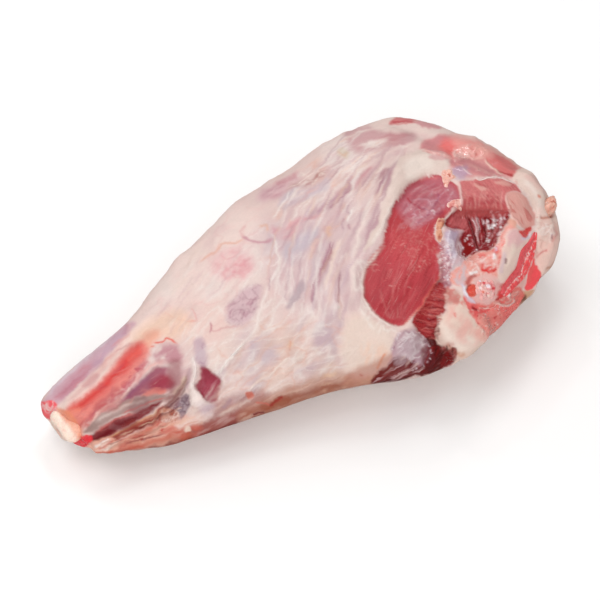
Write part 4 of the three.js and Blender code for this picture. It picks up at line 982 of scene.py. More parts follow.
def fringe(spots, count, reach, tints, seed):
    # short fibres of fat that cross an edge, each leaning its own way
    samples = 200
    draw = np.random.default_rng(seed)
    edge = curveThrough(pairs(spots), np.linspace(0, 1, samples))
    ahead = unit(np.gradient(edge, axis=0))
    marks = []
    for _ in range(count):
        place = draw.integers(0, samples)
        turn = draw.normal(1.1, 0.8) * draw.choice([-1, 1])
        x, y = ahead[place]
        across = np.array([x * np.cos(turn) - y * np.sin(turn), x * np.sin(turn) + y * np.cos(turn)])
        long = draw.uniform(*reach)
        begin = edge[place] - across * long * draw.uniform(0.2, 0.8)
        bend = np.array([-across[1], across[0]]) * draw.normal(0, 0.16) * long
        path = [begin, begin + across * long / 2 + bend, begin + across * long]
        marks.append({"path": path, "tint": tints[draw.integers(len(tints))], "width": draw.uniform(0.5, 1.0),
                      "share": draw.uniform(0.4, 0.9), "lift": draw.uniform(0.1, 0.4), "fine": True})
    return marks


edgeFibres = [
    *fringe([436, 175, 420, 178, 405, 189, 398, 200, 391, 214, 387, 230, 382, 245, 371, 257, 364, 270, 362,
        284, 365, 298, 372, 311, 384, 322, 398, 327], 18, (1, 4), [0xf4e2da, 0xe8c8c2, 0xdeaaa6], 61),
    *fringe([438, 342, 441, 324, 438, 317, 447, 311, 446, 299, 448, 288], 14, (1.5, 5), [0xf4dcd2, 0xecbab0],
        63),
    *fringe([513, 177, 519, 187, 527, 195, 533, 205, 536, 216, 537, 230, 536, 240, 535, 252], 22, (2, 5),
        [0xf4dad2, 0xecbab0], 65),
    *fringe([458, 254, 467, 259, 477, 254, 487, 251, 494, 247, 499, 239, 505, 228, 510, 214], 34, (2, 6),
        [0xf6cec6, 0xe8968e, 0xfae2dc], 67),
    *fringe([421, 151, 434, 154, 450, 158, 466, 166, 482, 172, 500, 178, 516, 184], 40, (2, 6), [0xf0c4bc,
        0xe4a09a], 69),
    *fringe([392, 352, 396, 338, 404, 330, 414, 330, 424, 338, 432, 352, 426, 364, 410, 370], 30, (1.5, 4),
        [0xecdee2, 0xceb0b8], 71),
    *fringe([462, 299, 472, 315, 480, 328, 488, 336], 20, (2, 6), [0xf6d6ca, 0xeca69c], 73),
]


thighFan = {"aside": 88, "top": 170, "fade": 80}    # pixels
pixelsPerMm = 1.55


def fanPlace(spots):
    # down and across the thigh's streaks, whose x falls off as aside * exp(-(y - top) / fade)
    drop = np.exp(-(spots[:, 1] - thighFan["top"]) / thighFan["fade"])
    return np.stack([spots[:, 1], spots[:, 0] - thighFan["aside"] * drop], -1)


def patternOf(mark, spots):
    # streaky noise along the mark's direction, cut to a range or drawn out to threads
    along, across, degrees = (mark.get("mottle") or mark["web"])[:3]
    if mark.get("fan"):
        place = fanPlace(spots)
    else:
        turn = np.radians(degrees)
        x, y = spots.T
        place = np.stack([x * np.cos(turn) - y * np.sin(turn), x * np.sin(turn) + y * np.cos(turn)], -1)
    seed = int(along * 7 + across * 31 + len(mark["edge"]) * 5 + channels(mark["tint"]).sum())
    value = noise(place / np.array([along, across]), 1, seed, 2)
    calm = smoothstep(-0.5, 0.3, noise(spots, 26, seed + 3, 2)) if mark.get("fan") else 1
    if "mottle" in mark:
        return calm * smoothstep(mark["mottle"][3], mark["mottle"][4], value)
    return calm * (1 - np.abs(value)) ** mark["web"][3]


def markShare(mark, picture, offset, gentle=0):
    # how much of a mark covers each point: a smooth step across an outline's edge, or a bell across a line
    wander = 3       # pixels that the ragged offset can move a point
    outline = mark.get("edge")
    if outline is not None:
        curve = curveThrough(outline, np.linspace(0, 1, 5 * len(outline) + 1), closed=True)
        soft = max(mark["soft"], gentle)
        reach = soft / 2 + wander
    else:
        count = finePoints if "fine" in mark else 5 * len(mark["path"])
        curve = curveThrough(mark["path"], np.linspace(0, 1, count))
        reach = 2.6 * mark["width"] + wander
    near = np.flatnonzero(((picture > curve.min(0) - reach) & (picture < curve.max(0) + reach)).all(1))
    spots = picture[near] + offset[near] * mark.get("ragged", 1)
    away, passed = distanceTo(spots, curve)
    if outline is not None:
        away = np.where(insideOf(spots, curve[:-1]), away, -away)
        share = smoothstep(-soft / 2, soft / 2, away)
        if "mottle" in mark or "web" in mark:
            share = share * patternOf(mark, spots)
    else:
        # fine lines fade out towards both ends, the others keep a quarter there
        fade, kept = (0.35, 0) if "fine" in mark else (0.12, 0.25)
        ends = smoothstep(0, fade, passed) * smoothstep(0, fade, 1 - passed)
        share = np.exp(-(away / mark["width"]) ** 2) * (ends * (1 - kept) + kept)
    return near, share


allMarks = thighMarks + shankMarks + groundStreaks + rumpMarks + rumpStreaksAndGlints + edgeFibres

# low swells and hollows where the leg meets the ground of the picture: x, y, radius, lift in mm
outlineSwells = [
    (50.5, 420.5, 4, -1.3), (59, 434, 5, 0.9), (71.5, 441, 3, -0.6), (90.5, 448, 4, -1.6),
    (97, 452, 5, 1.2), (127, 452, 7, -0.8), (172, 440, 22, 1.8), (205, 432, 18, 0.8), (74, 441, 10, 1),
    (98, 453, 10, -0.6), (372, 386, 26, -1.5), (424, 372, 14, 1.2), (449, 362, 13, 2.6),
    (481, 349, 13, -3.2), (541, 281, 12, -2.3), (528, 298, 8, -1), (559, 225, 10, -1.2), (543, 191, 8, 1),
    (531, 177, 11, 2.6), (507, 155, 14, -1.2), (455, 129, 14, -2.2), (398, 120, 20, 2),
    (291, 164, 20, -2.1), (237, 204, 20, 2.2), (178, 259, 13, 2), (138, 307, 10, -0.8), (343, 132, 5, 0.9),
    (352, 128, 4, -0.5), (323, 142, 5, 0.7), (268, 181, 5, 0.6), (475, 136, 4, 0.9), (486, 143, 4, -0.5),
    (512, 160, 4, 0.7), (213, 222, 5, -0.4), (64, 377, 6, 0.5), (92, 350, 6, -0.4),
]


hiddenTints = {
    "fat": 0xead0c6,
    "pink": 0xda9e9a,
    "mauve": 0xb67a88,
    "silver": 0xd4c0c6,
    "thread": 0xf8ece5,
    "vein": 0xce7674,
}
# long drifts of muscle that show through the fat: tint, size in mm, seed, where it starts and is full, share
hiddenDrifts = [
    ("pink", 26, 51, -0.1, 0.7, 0.7),
    ("mauve", 20, 55, 0.15, 0.7, 0.6),
    ("silver", 12, 59, 0.1, 0.8, 0.5),
]


def stretched(points, share):
    # lengths along the leg made shorter, so that a noise on the points runs along it
    return points * np.array([share, 1, 1])


def hiddenThreads(points):
    # thin threads of fascia that run along the leg, where a stretched noise passes zero
    return (1 - np.abs(noise(stretched(points, 0.16), 5.5, 91, 3))) ** 9


fleshFinish = {
    "reflectance": 0.87,     # of the colour that the flesh shows in full light
    "gloss": 0.009,          # light that its moist surface adds to that colour
    "wetGloss": 0.008,
    "fatRoughness": 0.46,
    "leanRoughness": 0.34,
    "wetRoughness": 0.13,
    "fibreSize": 1.0,        # noise cells per mm across the fibres
    "cloudSize": 110,        # noise cells per metre
    "speckSize": 620,
    "rippleSize": 430,
    "rippleDepth": 3.2,      # of the wet hollows, against the fibres' 1
    "fleckSize": 0.52,       # of the pale flecks in the lean, as fibreSize
    "fleckTint": (0.72, 0.42, 0.38, 1),
    "blushTint": (0.93, 0.76, 0.78, 1),
    "bump": 0.35,
    "sockets": {"Coat Roughness": 0.06, "Coat IOR": 1.4, "IOR": 1.38, "Specular IOR Level": 0.32},
}


skinRelief = {
    "stretch": 0.35,               # of lengths along the leg, so that the unevenness runs along it
    "uneven": [(0.9, 24, 3), (0.28, 7, 9)],     # height and size in mm, seed
    "hiddenThread": 0.3,           # mm
    "hiddenUneven": (0.3, 6, 99),
    "hiddenStretch": 0.14,
    "softest": 7,                  # pixels that the edge of a raised area takes at least
    "sideWidth": 0.4,              # of the swells' reach round from the outline, as a cosine
}


def raisedGrid(grid):
    # the marks' lifts and a low unevenness all over, along the normals
    s = skinRelief
    normals = gridNormals(grid)
    flat = grid.reshape(-1, 3)
    flatNormals = normals.reshape(-1, 3)
    seen = smoothstep(0.02, 0.2, facing(flat, flatNormals))
    picture = pictureOf(flat)
    offset = raggedOffset(picture)
    height = np.zeros(len(flat))
    for mark in allMarks:
        if "lift" in mark:
            near, share = markShare(mark, picture, offset, s["softest"])
            height[near] += mark["lift"] * share * seen[near]
    side = np.exp(-(facing(flat, flatNormals) / s["sideWidth"]) ** 2)
    for x, y, radius, lift in outlineSwells:
        away = np.hypot(picture[:, 0] - x, picture[:, 1] - y)
        height += lift * np.exp(-(away / radius) ** 2) * side
    drawn = stretched(flat, s["stretch"])
    height += sum(tall * noise(drawn, size, seed, 2) for tall, size, seed in s["uneven"])
    tall, size, seed = s["hiddenUneven"]
    hiddenUneven = tall * noise(stretched(flat, s["hiddenStretch"]), size, seed, 2)
    height += (1 - seen) * (s["hiddenThread"] * hiddenThreads(flat) + hiddenUneven)
    raised = flat + flatNormals * height[:, None]
    raised[:, 2] = np.maximum(raised[:, 2], 0)
    return raised.reshape(grid.shape)


def raggedOffset(picture):
    # a slow drift of about a pixel and a quick one that make every edge uneven
    slow = np.stack([noise(picture, 9, 41), noise(picture, 9, 43)], -1)
    quick = np.stack([noise(picture, 3.2, 45, 2), noise(picture, 3.2, 47, 2)], -1)
    return 1.3 * slow + 0.9 * quick


def hiddenPaint(flat):
    # fat with pink, mauve and silvery muscle that shows through in long drifts, threads and veins
    finish = {name: linearColour(value) for name, value in hiddenTints.items()}
    long = stretched(flat, 0.28)
    tint = np.tile(finish["fat"], (len(flat), 1))
    for name, size, seed, low, high, share in hiddenDrifts:
        cover = share * smoothstep(low, high, noise(long, size, seed, 3))
        tint = mixed(tint, finish[name], cover[:, None])
    streaks = smoothstep(0.05, 0.7, noise(stretched(flat, 0.1), 4, 93, 3))
    streaks = 0.3 * streaks * smoothstep(-0.4, 0.4, noise(long, 24, 95, 2))
    tint = mixed(tint, finish["mauve"], streaks[:, None])
    tint = mixed(tint, finish["thread"], (0.6 * hiddenThreads(flat))[:, None])
    vein = (1 - np.abs(noise(stretched(flat, 0.5), 26, 97, 4))) ** 46
    return mixed(tint, finish["vein"], (0.55 * vein)[:, None])


def fibrePlace(x, y, depth):
    # place for a noise of fibres, drawn out along x
    return np.stack([0.12 * x, y, 0.1 * depth], -1)


def paintedGrid(grid):
    # tint, lean, wet and fibre place of every point: the marks where it is seen, the hidden finish elsewhere
    faintest = 0.004     # share of a mark that still counts
    normals = gridNormals(grid).reshape(-1, 3)
    flat = grid.reshape(-1, 3)
    seen = smoothstep(0.02, 0.16, facing(flat, normals))
    picture = pictureOf(flat)
    offset = raggedOffset(picture)
    count = len(flat)
    visible = np.tile(linearColour(paleFat), (count, 1))
    drift = 0.35 * smoothstep(0, 0.8, noise(stretched(flat, 0.28), 18, 63, 3))
    visible = mixed(visible, linearColour(washedPink), drift[:, None])
    lean = np.zeros(count)
    wet = 0.12 + 0.1 * noise(flat, 20, 67, 2)
    grain = stretched(flat, 0.12)
    for mark in allMarks:
        near, share = markShare(mark, picture, offset)
        clear = share > faintest
        near = near[clear]
        share = share[clear]
        cover = share * mark["share"]
        visible[near] = mixed(visible[near], linearColour(mark["tint"]), cover[:, None])
        if "edge" in mark or "lean" in mark:
            lean[near] = mixed(lean[near], mark.get("lean", 0), share)
        if "wet" in mark:
            wet[near] = mixed(wet[near], mark["wet"], share)
        if mark.get("grain") == "fan":
            inside = near[share > 0.02]
            alongFibre, acrossFibre = fanPlace(picture[inside]).T / pixelsPerMm
            grain[inside] = fibrePlace(alongFibre, acrossFibre, flat[inside, 2])
        elif "grain" in mark:
            inside = near[share > 0.5]
            turn = np.radians(mark["grain"])
            x, y = picture[inside].T / pixelsPerMm
            alongFibre = x * np.cos(turn) - y * np.sin(turn)
            acrossFibre = x * np.sin(turn) + y * np.cos(turn)
            grain[inside] = fibrePlace(alongFibre, acrossFibre, flat[inside, 2])
    tint = mixed(hiddenPaint(flat), visible, seen[:, None])
    lean *= seen
    wet = mixed(0.15, wet, seen)
    gloss = fleshFinish["gloss"] + fleshFinish["wetGloss"] * wet
    tint = (tint - gloss[:, None]) * fleshFinish["reflectance"]
    return np.clip(tint, 0.003, 0.92), np.clip(lean, 0, 1), np.clip(wet, 0, 1), grain


# meshes
def meshOf(name, points, faces):
    mesh = bpy.data.meshes.new(name)
    mesh.from_pydata((np.asarray(points) * millimetre).tolist(), [], faces)
    mesh.validate()
    mesh.polygons.foreach_set("use_smooth", np.ones(len(mesh.polygons), bool))
    mesh.update()
    piece = bpy.data.objects.new(name, mesh)
    bpy.context.scene.collection.objects.link(piece)
    return piece


def tubeFaces(rows, columns, start=0):
    # quads between closed rings of points, and a fan of triangles at each end to the two tips that follow
    r, c = np.meshgrid(np.arange(rows - 1), np.arange(columns), indexing="ij")
    a = r * columns + c
    b = r * columns + (c + 1) % columns
    quads = np.stack([a, b, b + columns, a + columns], -1).reshape(-1, 4) + start
    first = np.arange(columns)
    last = first + (rows - 1) * columns
    tip = np.full(columns, rows * columns)
    near = np.stack([tip, np.roll(first, -1), first], -1) + start
    far = np.stack([tip + 1, last, np.roll(last, -1)], -1) + start
    return quads.tolist() + near.tolist() + far.tolist()


def setAttribute(piece, name, kind, values):
    field = {"FLOAT_COLOR": "color", "FLOAT_VECTOR": "vector", "FLOAT": "value"}[kind]
    if field == "color":
        values = np.concatenate([values, np.ones((len(values), 1))], 1)
    layer = piece.data.attributes.new(name, kind, "POINT")
    layer.data.foreach_set(field, values.astype(np.float32).ravel())


def withTips(values):
    # the values of the points, and those of the first and the last for the two tips
    return np.concatenate([values, values[:1], values[-1:]])


def makeLegFlesh(grid):
    # rings of the grid in three closed parts that share their end rings and their shading
    tint, lean, wet, grain = paintedGrid(grid)
    normals = gridNormals(grid).reshape(-1, 3)
    columns = grid.shape[1]
    rows = legForm["rows"]
    pieces = []
    for number, name in enumerate(legForm["partEnds"]):
        begin = number * (rows - 1) * columns
        chosen = slice(begin, begin + rows * columns)
        points = grid.reshape(-1, 3)[chosen]
        tips = np.stack([points[:columns].mean(0), points[-columns:].mean(0)])
        piece = meshOf(name, np.concatenate([points, tips]), tubeFaces(rows, columns))
        piece.data.normals_split_custom_set_from_vertices(withTips(normals[chosen]).tolist())
        setAttribute(piece, "tint", "FLOAT_COLOR", withTips(tint[chosen]))
        setAttribute(piece, "lean", "FLOAT", withTips(lean[chosen]))
        setAttribute(piece, "wet", "FLOAT", withTips(wet[chosen]))
        setAttribute(piece, "grain", "FLOAT_VECTOR", withTips(grain[chosen]))
        print(name, len(points), "points")
        pieces.append(piece)
    return pieces


legGrid = raisedGrid(makeLegGrid())
fleshPieces = makeLegFlesh(legGrid)


# places on the flesh for a point of the picture
class FleshMap:
    # for a picture point: a visible grid cell near it, then Newton steps on the grid's own picture
    cell = 2               # pixels a side
    cells = 300
    spread = 14            # cells that a known place is carried into the empty ones round it
    steps = 8
    longestStep = 4        # rows or columns
    smallestArea = 0.05    # pixels squared of a grid cell
    seenFrom = 0.03        # cosine of the angle between the normal and the camera

    def __init__(self, grid):
        self.grid = grid
        self.normals = gridNormals(grid)
        self.picture = pictureOf(grid)
        seen = facing(grid, self.normals) > self.seenFrom
        rows, columns = np.nonzero(seen)
        cell = (self.picture[seen] / self.cell).astype(int)
        self.table = np.full((self.cells, self.cells, 2), -1)
        self.table[cell[:, 1], cell[:, 0]] = np.stack([rows, columns], -1)
        for _ in range(self.spread):
            empty = self.table[..., 0] < 0
            for axis, shift in ((0, 1), (0, -1), (1, 1), (1, -1)):
                moved = np.roll(self.table, shift, axis)
                fill = empty & (moved[..., 0] >= 0)
                self.table[fill] = moved[fill]
                empty &= ~fill

    def sample(self, field, place):
        # the grid's values at places between its rows and columns, by shares of the four round each
        rows, columns = field.shape[:2]
        r = np.clip(place[:, 0], 0, rows - 1.001)
        c = place[:, 1] % columns
        r0 = r.astype(int)
        c0 = c.astype(int) % columns
        c1 = (c0 + 1) % columns
        fr = (r - r0)[:, None]
        fc = (c - c.astype(int))[:, None]
        return ((field[r0, c0] * (1 - fr) + field[r0 + 1, c0] * fr) * (1 - fc)
                + (field[r0, c1] * (1 - fr) + field[r0 + 1, c1] * fr) * fc)

    def at(self, spots):
        spots = np.asarray(spots, float)
        shape = spots.shape[:-1]
        spots = spots.reshape(-1, 2)
        cell = np.clip((spots / self.cell).astype(int), 0, self.cells - 1)
        place = self.table[cell[:, 1], cell[:, 0]].astype(float)
        for _ in range(self.steps):
            here = self.sample(self.picture, place)
            gap = spots - here
            dr = self.sample(self.picture, place + [0.5, 0]) - self.sample(self.picture, place - [0.5, 0])
            dc = self.sample(self.picture, place + [0, 0.5]) - self.sample(self.picture, place - [0, 0.5])
            size = dr[:, 0] * dc[:, 1] - dr[:, 1] * dc[:, 0]
            small = self.smallestArea
            size = np.where(np.abs(size) < small, small * np.sign(size + 1e-9), size)
            move = np.stack([gap[:, 0] * dc[:, 1] - gap[:, 1] * dc[:, 0],
                             gap[:, 1] * dr[:, 0] - gap[:, 0] * dr[:, 1]], -1) / size[:, None]
            place = place + np.clip(move, -self.longestStep, self.longestStep)
            place[:, 0] = np.clip(place[:, 0], 0, self.grid.shape[0] - 1)
        point = self.sample(self.grid, place).reshape(*shape, 3)
        normal = unit(self.sample(self.normals, place)).reshape(*shape, 3)
        return point, normal


fleshMap = FleshMap(legGrid)
print("map of the flesh ready")


# materials
def nodeIn(tree, kind, inputs=None, **settings):
    made = tree.nodes.new(kind)
    for key, value in settings.items():
        setattr(made, key, value)
    for key, value in (inputs or {}).items():
        if isinstance(value, bpy.types.NodeSocket):
            tree.links.new(value, made.inputs[key])
        else:
            made.inputs[key].default_value = value
    return made


def rangeOf(tree, value, low, high, fromLow=0.0, fromHigh=1.0):
    made = nodeIn(tree, "ShaderNodeMapRange", {"Value": value, "From Min": fromLow, "From Max": fromHigh,
                                               "To Min": low, "To Max": high})
    return made.outputs["Result"]


def mathOf(tree, operation, a, b):
    made = nodeIn(tree, "ShaderNodeMath", {0: a, 1: b}, operation=operation)
    return made.outputs[0]


def mixColour(tree, share, a, b, blend="MIX"):
    made = tree.nodes.new("ShaderNodeMix")
    made.data_type = "RGBA"
    made.blend_type = blend
    for socket, value in ((made.inputs[0], share), (made.inputs[6], a), (made.inputs[7], b)):
        if isinstance(value, bpy.types.NodeSocket):
            tree.links.new(value, socket)
        else:
            socket.default_value = value
    return made.outputs[2]


def newMaterial(name):
    material = bpy.data.materials.new(name)
    material.use_nodes = True
    tree = material.node_tree
    tree.nodes.clear()
    shader = nodeIn(tree, "ShaderNodeBsdfPrincipled")
    nodeIn(tree, "ShaderNodeOutputMaterial", {"Surface": shader.outputs[0]})
    return material, tree, shader


def attributeOf(tree, name, output="Fac"):
    return nodeIn(tree, "ShaderNodeAttribute", attribute_name=name).outputs[output]


def noiseOf(tree, place, scale, detail=2.0, roughness=0.6):
    made = nodeIn(tree, "ShaderNodeTexNoise", {"Vector": place, "Scale": scale, "Detail": detail,
                                               "Roughness": roughness})
    return made.outputs[0]


def shaded(tree, colour, shade):
    # the colour times a grey shade
    grey = nodeIn(tree, "ShaderNodeCombineColor", {0: shade, 1: shade, 2: shade}).outputs[0]
    return mixColour(tree, 1.0, colour, grey, "MULTIPLY")


def offMiddle(tree, value, depth):
    # depth times how far a noise is from its middle
    return mathOf(tree, "MULTIPLY", mathOf(tree, "SUBTRACT", value, 0.5), depth)


def setSockets(shader, values):
    for name, value in values.items():
        shader.inputs[name].default_value = value


def bumpFrom(tree, shader, height, strength):
    bump = nodeIn(tree, "ShaderNodeBump", {"Height": height, "Strength": strength,
                                        "Distance": 0.6 * millimetre})
    tree.links.new(bump.outputs[0], shader.inputs["Normal"])


def fleshMaterial():
    # tint, lean, wet and grain come from the mesh; fibres shade the lean, clouds the fat
    f = fleshFinish
    material, tree, shader = newMaterial("moistFlesh")
    tint = attributeOf(tree, "tint", "Color")
    lean = attributeOf(tree, "lean")
    wet = attributeOf(tree, "wet")
    grain = attributeOf(tree, "grain", "Vector")
    place = nodeIn(tree, "ShaderNodeTexCoord").outputs["Object"]
    fibre = noiseOf(tree, grain, f["fibreSize"], 3.0)
    cloud = noiseOf(tree, place, f["cloudSize"], 4.0)
    speck = noiseOf(tree, place, f["speckSize"])
    fibreShade = offMiddle(tree, fibre, rangeOf(tree, lean, 0.1, 0.42))
    shade = mathOf(tree, "ADD", fibreShade, offMiddle(tree, cloud, 0.16))
    shade = mathOf(tree, "ADD", shade, mathOf(tree, "ADD", offMiddle(tree, speck, 0.12), 1.0))
    base = shaded(tree, tint, shade)
    # pale flecks in the lean, clear in fine spots and faint in wider ones
    fleck = noiseOf(tree, grain, f["fleckSize"], 4.0, 0.7)
    dryLean = mathOf(tree, "MULTIPLY", lean, rangeOf(tree, wet, 1.0, 0.15, 0.3, 0.8))
    fleckShare = mathOf(tree, "MULTIPLY", rangeOf(tree, fleck, 0.0, 0.32, 0.57, 0.74), dryLean)
    base = mixColour(tree, fleckShare, base, f["fleckTint"])
    # a blush where the clouds are thin
    blush = rangeOf(tree, cloud, 0.0, 0.35, 0.52, 0.8)
    base = mixColour(tree, blush, base, mixColour(tree, 1.0, base, f["blushTint"], "MULTIPLY"))
    tree.links.new(base, shader.inputs["Base Color"])
    rough = mathOf(tree, "ADD", rangeOf(tree, lean, f["fatRoughness"], f["leanRoughness"]),
                   offMiddle(tree, speck, 0.2))
    wetMix = nodeIn(tree, "ShaderNodeMix", {0: wet, 2: rough, 3: f["wetRoughness"]})
    tree.links.new(wetMix.outputs[0], shader.inputs["Roughness"])
    tree.links.new(rangeOf(tree, wet, 0.0, 1.0, 0.3, 1.0), shader.inputs["Coat Weight"])
    setSockets(shader, f["sockets"])
    ripple = noiseOf(tree, place, f["rippleSize"], 2.0, 0.5)
    height = mathOf(tree, "ADD", mathOf(tree, "MULTIPLY", fibre, rangeOf(tree, lean, 0.5, 1.0)),
                    mathOf(tree, "MULTIPLY", speck, 0.7))
    rippleDepth = rangeOf(tree, wet, 0.0, f["rippleDepth"], 0.3, 1.0)
    height = mathOf(tree, "ADD", height, mathOf(tree, "MULTIPLY", ripple, rippleDepth))
    bumpFrom(tree, shader, height, f["bump"])
    return material


moistFlesh = fleshMaterial()


tissueSockets = {
    "Coat Roughness": 0.08,
    "Subsurface Weight": 0.15,
    "Subsurface Radius": (1.4, 0.7, 0.5),
    "Subsurface Scale": 0.001,
}


def tintedMaterial(name, roughness, coat, speckSize, speckDepth, bumpStrength):
    # the piece's own tint, mottled by a fine noise, with a moist coat
    material, tree, shader = newMaterial(name)
    speck = noiseOf(tree, nodeIn(tree, "ShaderNodeTexCoord").outputs["Object"], speckSize, 3.0)
    shade = rangeOf(tree, speck, 1 - speckDepth, 1 + speckDepth, 0.25, 0.75)
    tree.links.new(shaded(tree, attributeOf(tree, "tint", "Color"), shade), shader.inputs["Base Color"])
    setSockets(shader, {"Roughness": roughness, "Coat Weight": coat, **tissueSockets})
    bumpFrom(tree, shader, speck, bumpStrength)
    return material


sawnBone = tintedMaterial("sawnBone", 0.42, 0.35, 900, 0.12, 0.5)
moistTissue = tintedMaterial("moistTissue", 0.36, 0.4, 500, 0.06, 0.3)


def finishPiece(piece, material, nodes=()):
    piece.data.materials.append(material)
    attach(piece, "root")
    for node in nodes:
        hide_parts(node)


for piece in fleshPieces:
    finishPiece(piece, moistFlesh, ["meat"])
print("flesh dressed")


# bones
shinBone = {
    "knuckle": (-178.6, -11.6, 23.2),
    "knee": (-24, 4, 47),
    # radius and distance from the knuckle's end
    "profile": [(0.01, 0), (4, 0.2), (7.4, 1.1), (9.6, 2.8), (10.9, 6), (10.8, 14), (8.6, 24), (7.4, 32),
                (6.6, 60), (6.8, 100), (9, 130), (13, 145), (13.4, 152), (10, 158), (0.01, 161)],
    # lobes round the end: how many, their share of the radius, and where they start
    "lobes": [(2, 0.06, 0.6), (3, 0.06, -0.4), (5, 0.03, 1)],
    "lobeReach": 22,     # mm from the end over which the lobes and the hollow fade
    "hollow": 1.1,       # mm deep in the middle of the sawn face
    "hollowWidth": 5.5,
    "rough": 1.2,        # mm
    "roughSize": 4.8,
    "coreWidth": 4.6,
    "coreReach": 8,      # mm from the end that the core shows
    "mottleReach": 12,
    "rows": 120,
    "crowding": 1.6,     # power that draws the rows towards the end
    "sides": 96,
    "rim": 0xfbe4d4,
    "core": 0xf4bcac,
    "edge": 0xf6ac8c,
    "shaft": 0xe2968c,
}


def makeShinBone():
    # a profile turned round the line from the knuckle to the knee, with low lobes round its end
    s = shinBone
    start = np.array(s["knuckle"]) + [*legForm["seat"], 0]
    axis = unit(np.array(s["knee"]) - np.array(s["knuckle"]))
    side = unit(np.cross(axis, [0, 0, 1]))
    up = np.cross(side, axis)
    t = np.linspace(0, 1, s["rows"]) ** s["crowding"]
    profile = curveThrough(s["profile"], t)
    turn = np.linspace(0, 2 * np.pi, s["sides"], endpoint=False)
    end = np.exp(-(profile[:, 1:] / s["lobeReach"]) ** 2)
    lobes = sum(tall * np.cos(count * turn + begin) for count, tall, begin in s["lobes"])
    radius = np.maximum(profile[:, :1], 0.01) * (1 + end * lobes)
    outward = np.cos(turn)[:, None] * side + np.sin(turn)[:, None] * up
    hollow = np.exp(-((radius / s["hollowWidth"]) ** 2)) * end * s["hollow"]
    points = start + (profile[:, 1:] + hollow)[..., None] * axis + radius[..., None] * outward
    flat = points.reshape(-1, 3)
    flat = flat + s["rough"] * noise(flat, s["roughSize"], 71, 3)[:, None] * np.tile(outward, (s["rows"], 1))
    tips = np.stack([start + axis * s["hollow"], start + axis * s["profile"][-1][1]])
    piece = meshOf("shinBone", np.concatenate([flat, tips]), tubeFaces(s["rows"], s["sides"]))
    fromEnd = np.repeat(profile[:, 1], s["sides"])
    fromAxis = radius.ravel()
    core = np.exp(-(fromAxis / s["coreWidth"]) ** 2) * (fromEnd < s["coreReach"])
    mottle = smoothstep(-0.1, 0.7, noise(flat, 3.2, 75, 3)) * (fromEnd < s["mottleReach"])
    mottled = 0.8 * core + 0.7 * mottle
    tint = mixed(linearColour(s["rim"]), linearColour(s["core"]), np.clip(mottled, 0, 1)[:, None])
    tint = mixed(tint, linearColour(s["edge"]), (0.85 * smoothstep(5, 9, fromEnd))[:, None])
    tint = mixed(tint, linearColour(s["shaft"]), smoothstep(9, 20, fromEnd)[:, None])
    setAttribute(piece, "tint", "FLOAT_COLOR", withTips(tint))
    finishPiece(piece, sawnBone, ["shank_bone"])


makeShinBone()
print("shin bone made")

hipStrip = {
    "left": [534, 231.5, 528.5, 240.8, 521.3, 249.4, 518.6, 257, 515.6, 267.6, 509, 276.2, 502.6, 285.8, 500,
        294],
    "right": [536.8, 232, 536.2, 246.5, 534.2, 256, 529, 269, 523, 279.5, 517, 285.5, 511.7, 291, 505.5, 297],
    "proud": 1.2,        # mm over the flesh
    "depth": 40,         # mm into the flesh
    "edgeRound": 0.16,   # share of the width over which its sides are rounded
    "endRound": 0.06,    # share of the length
    "sink": 0.8,         # mm that its edges lie under the flesh
    "grit": 0.4,         # mm
    "groove": (0.5, 0.47, 0.07),     # mm deep, place across and half width as shares
    "rows": 220,
    "across": 44,
    "wallRows": 7,
    "inner": 0xe2545a,
    "outer": 0xf24c50,
    "pore": 0xb4303a,
    "fleck": 0xfad6d0,
    "rim": 0xf0c4ba,
}


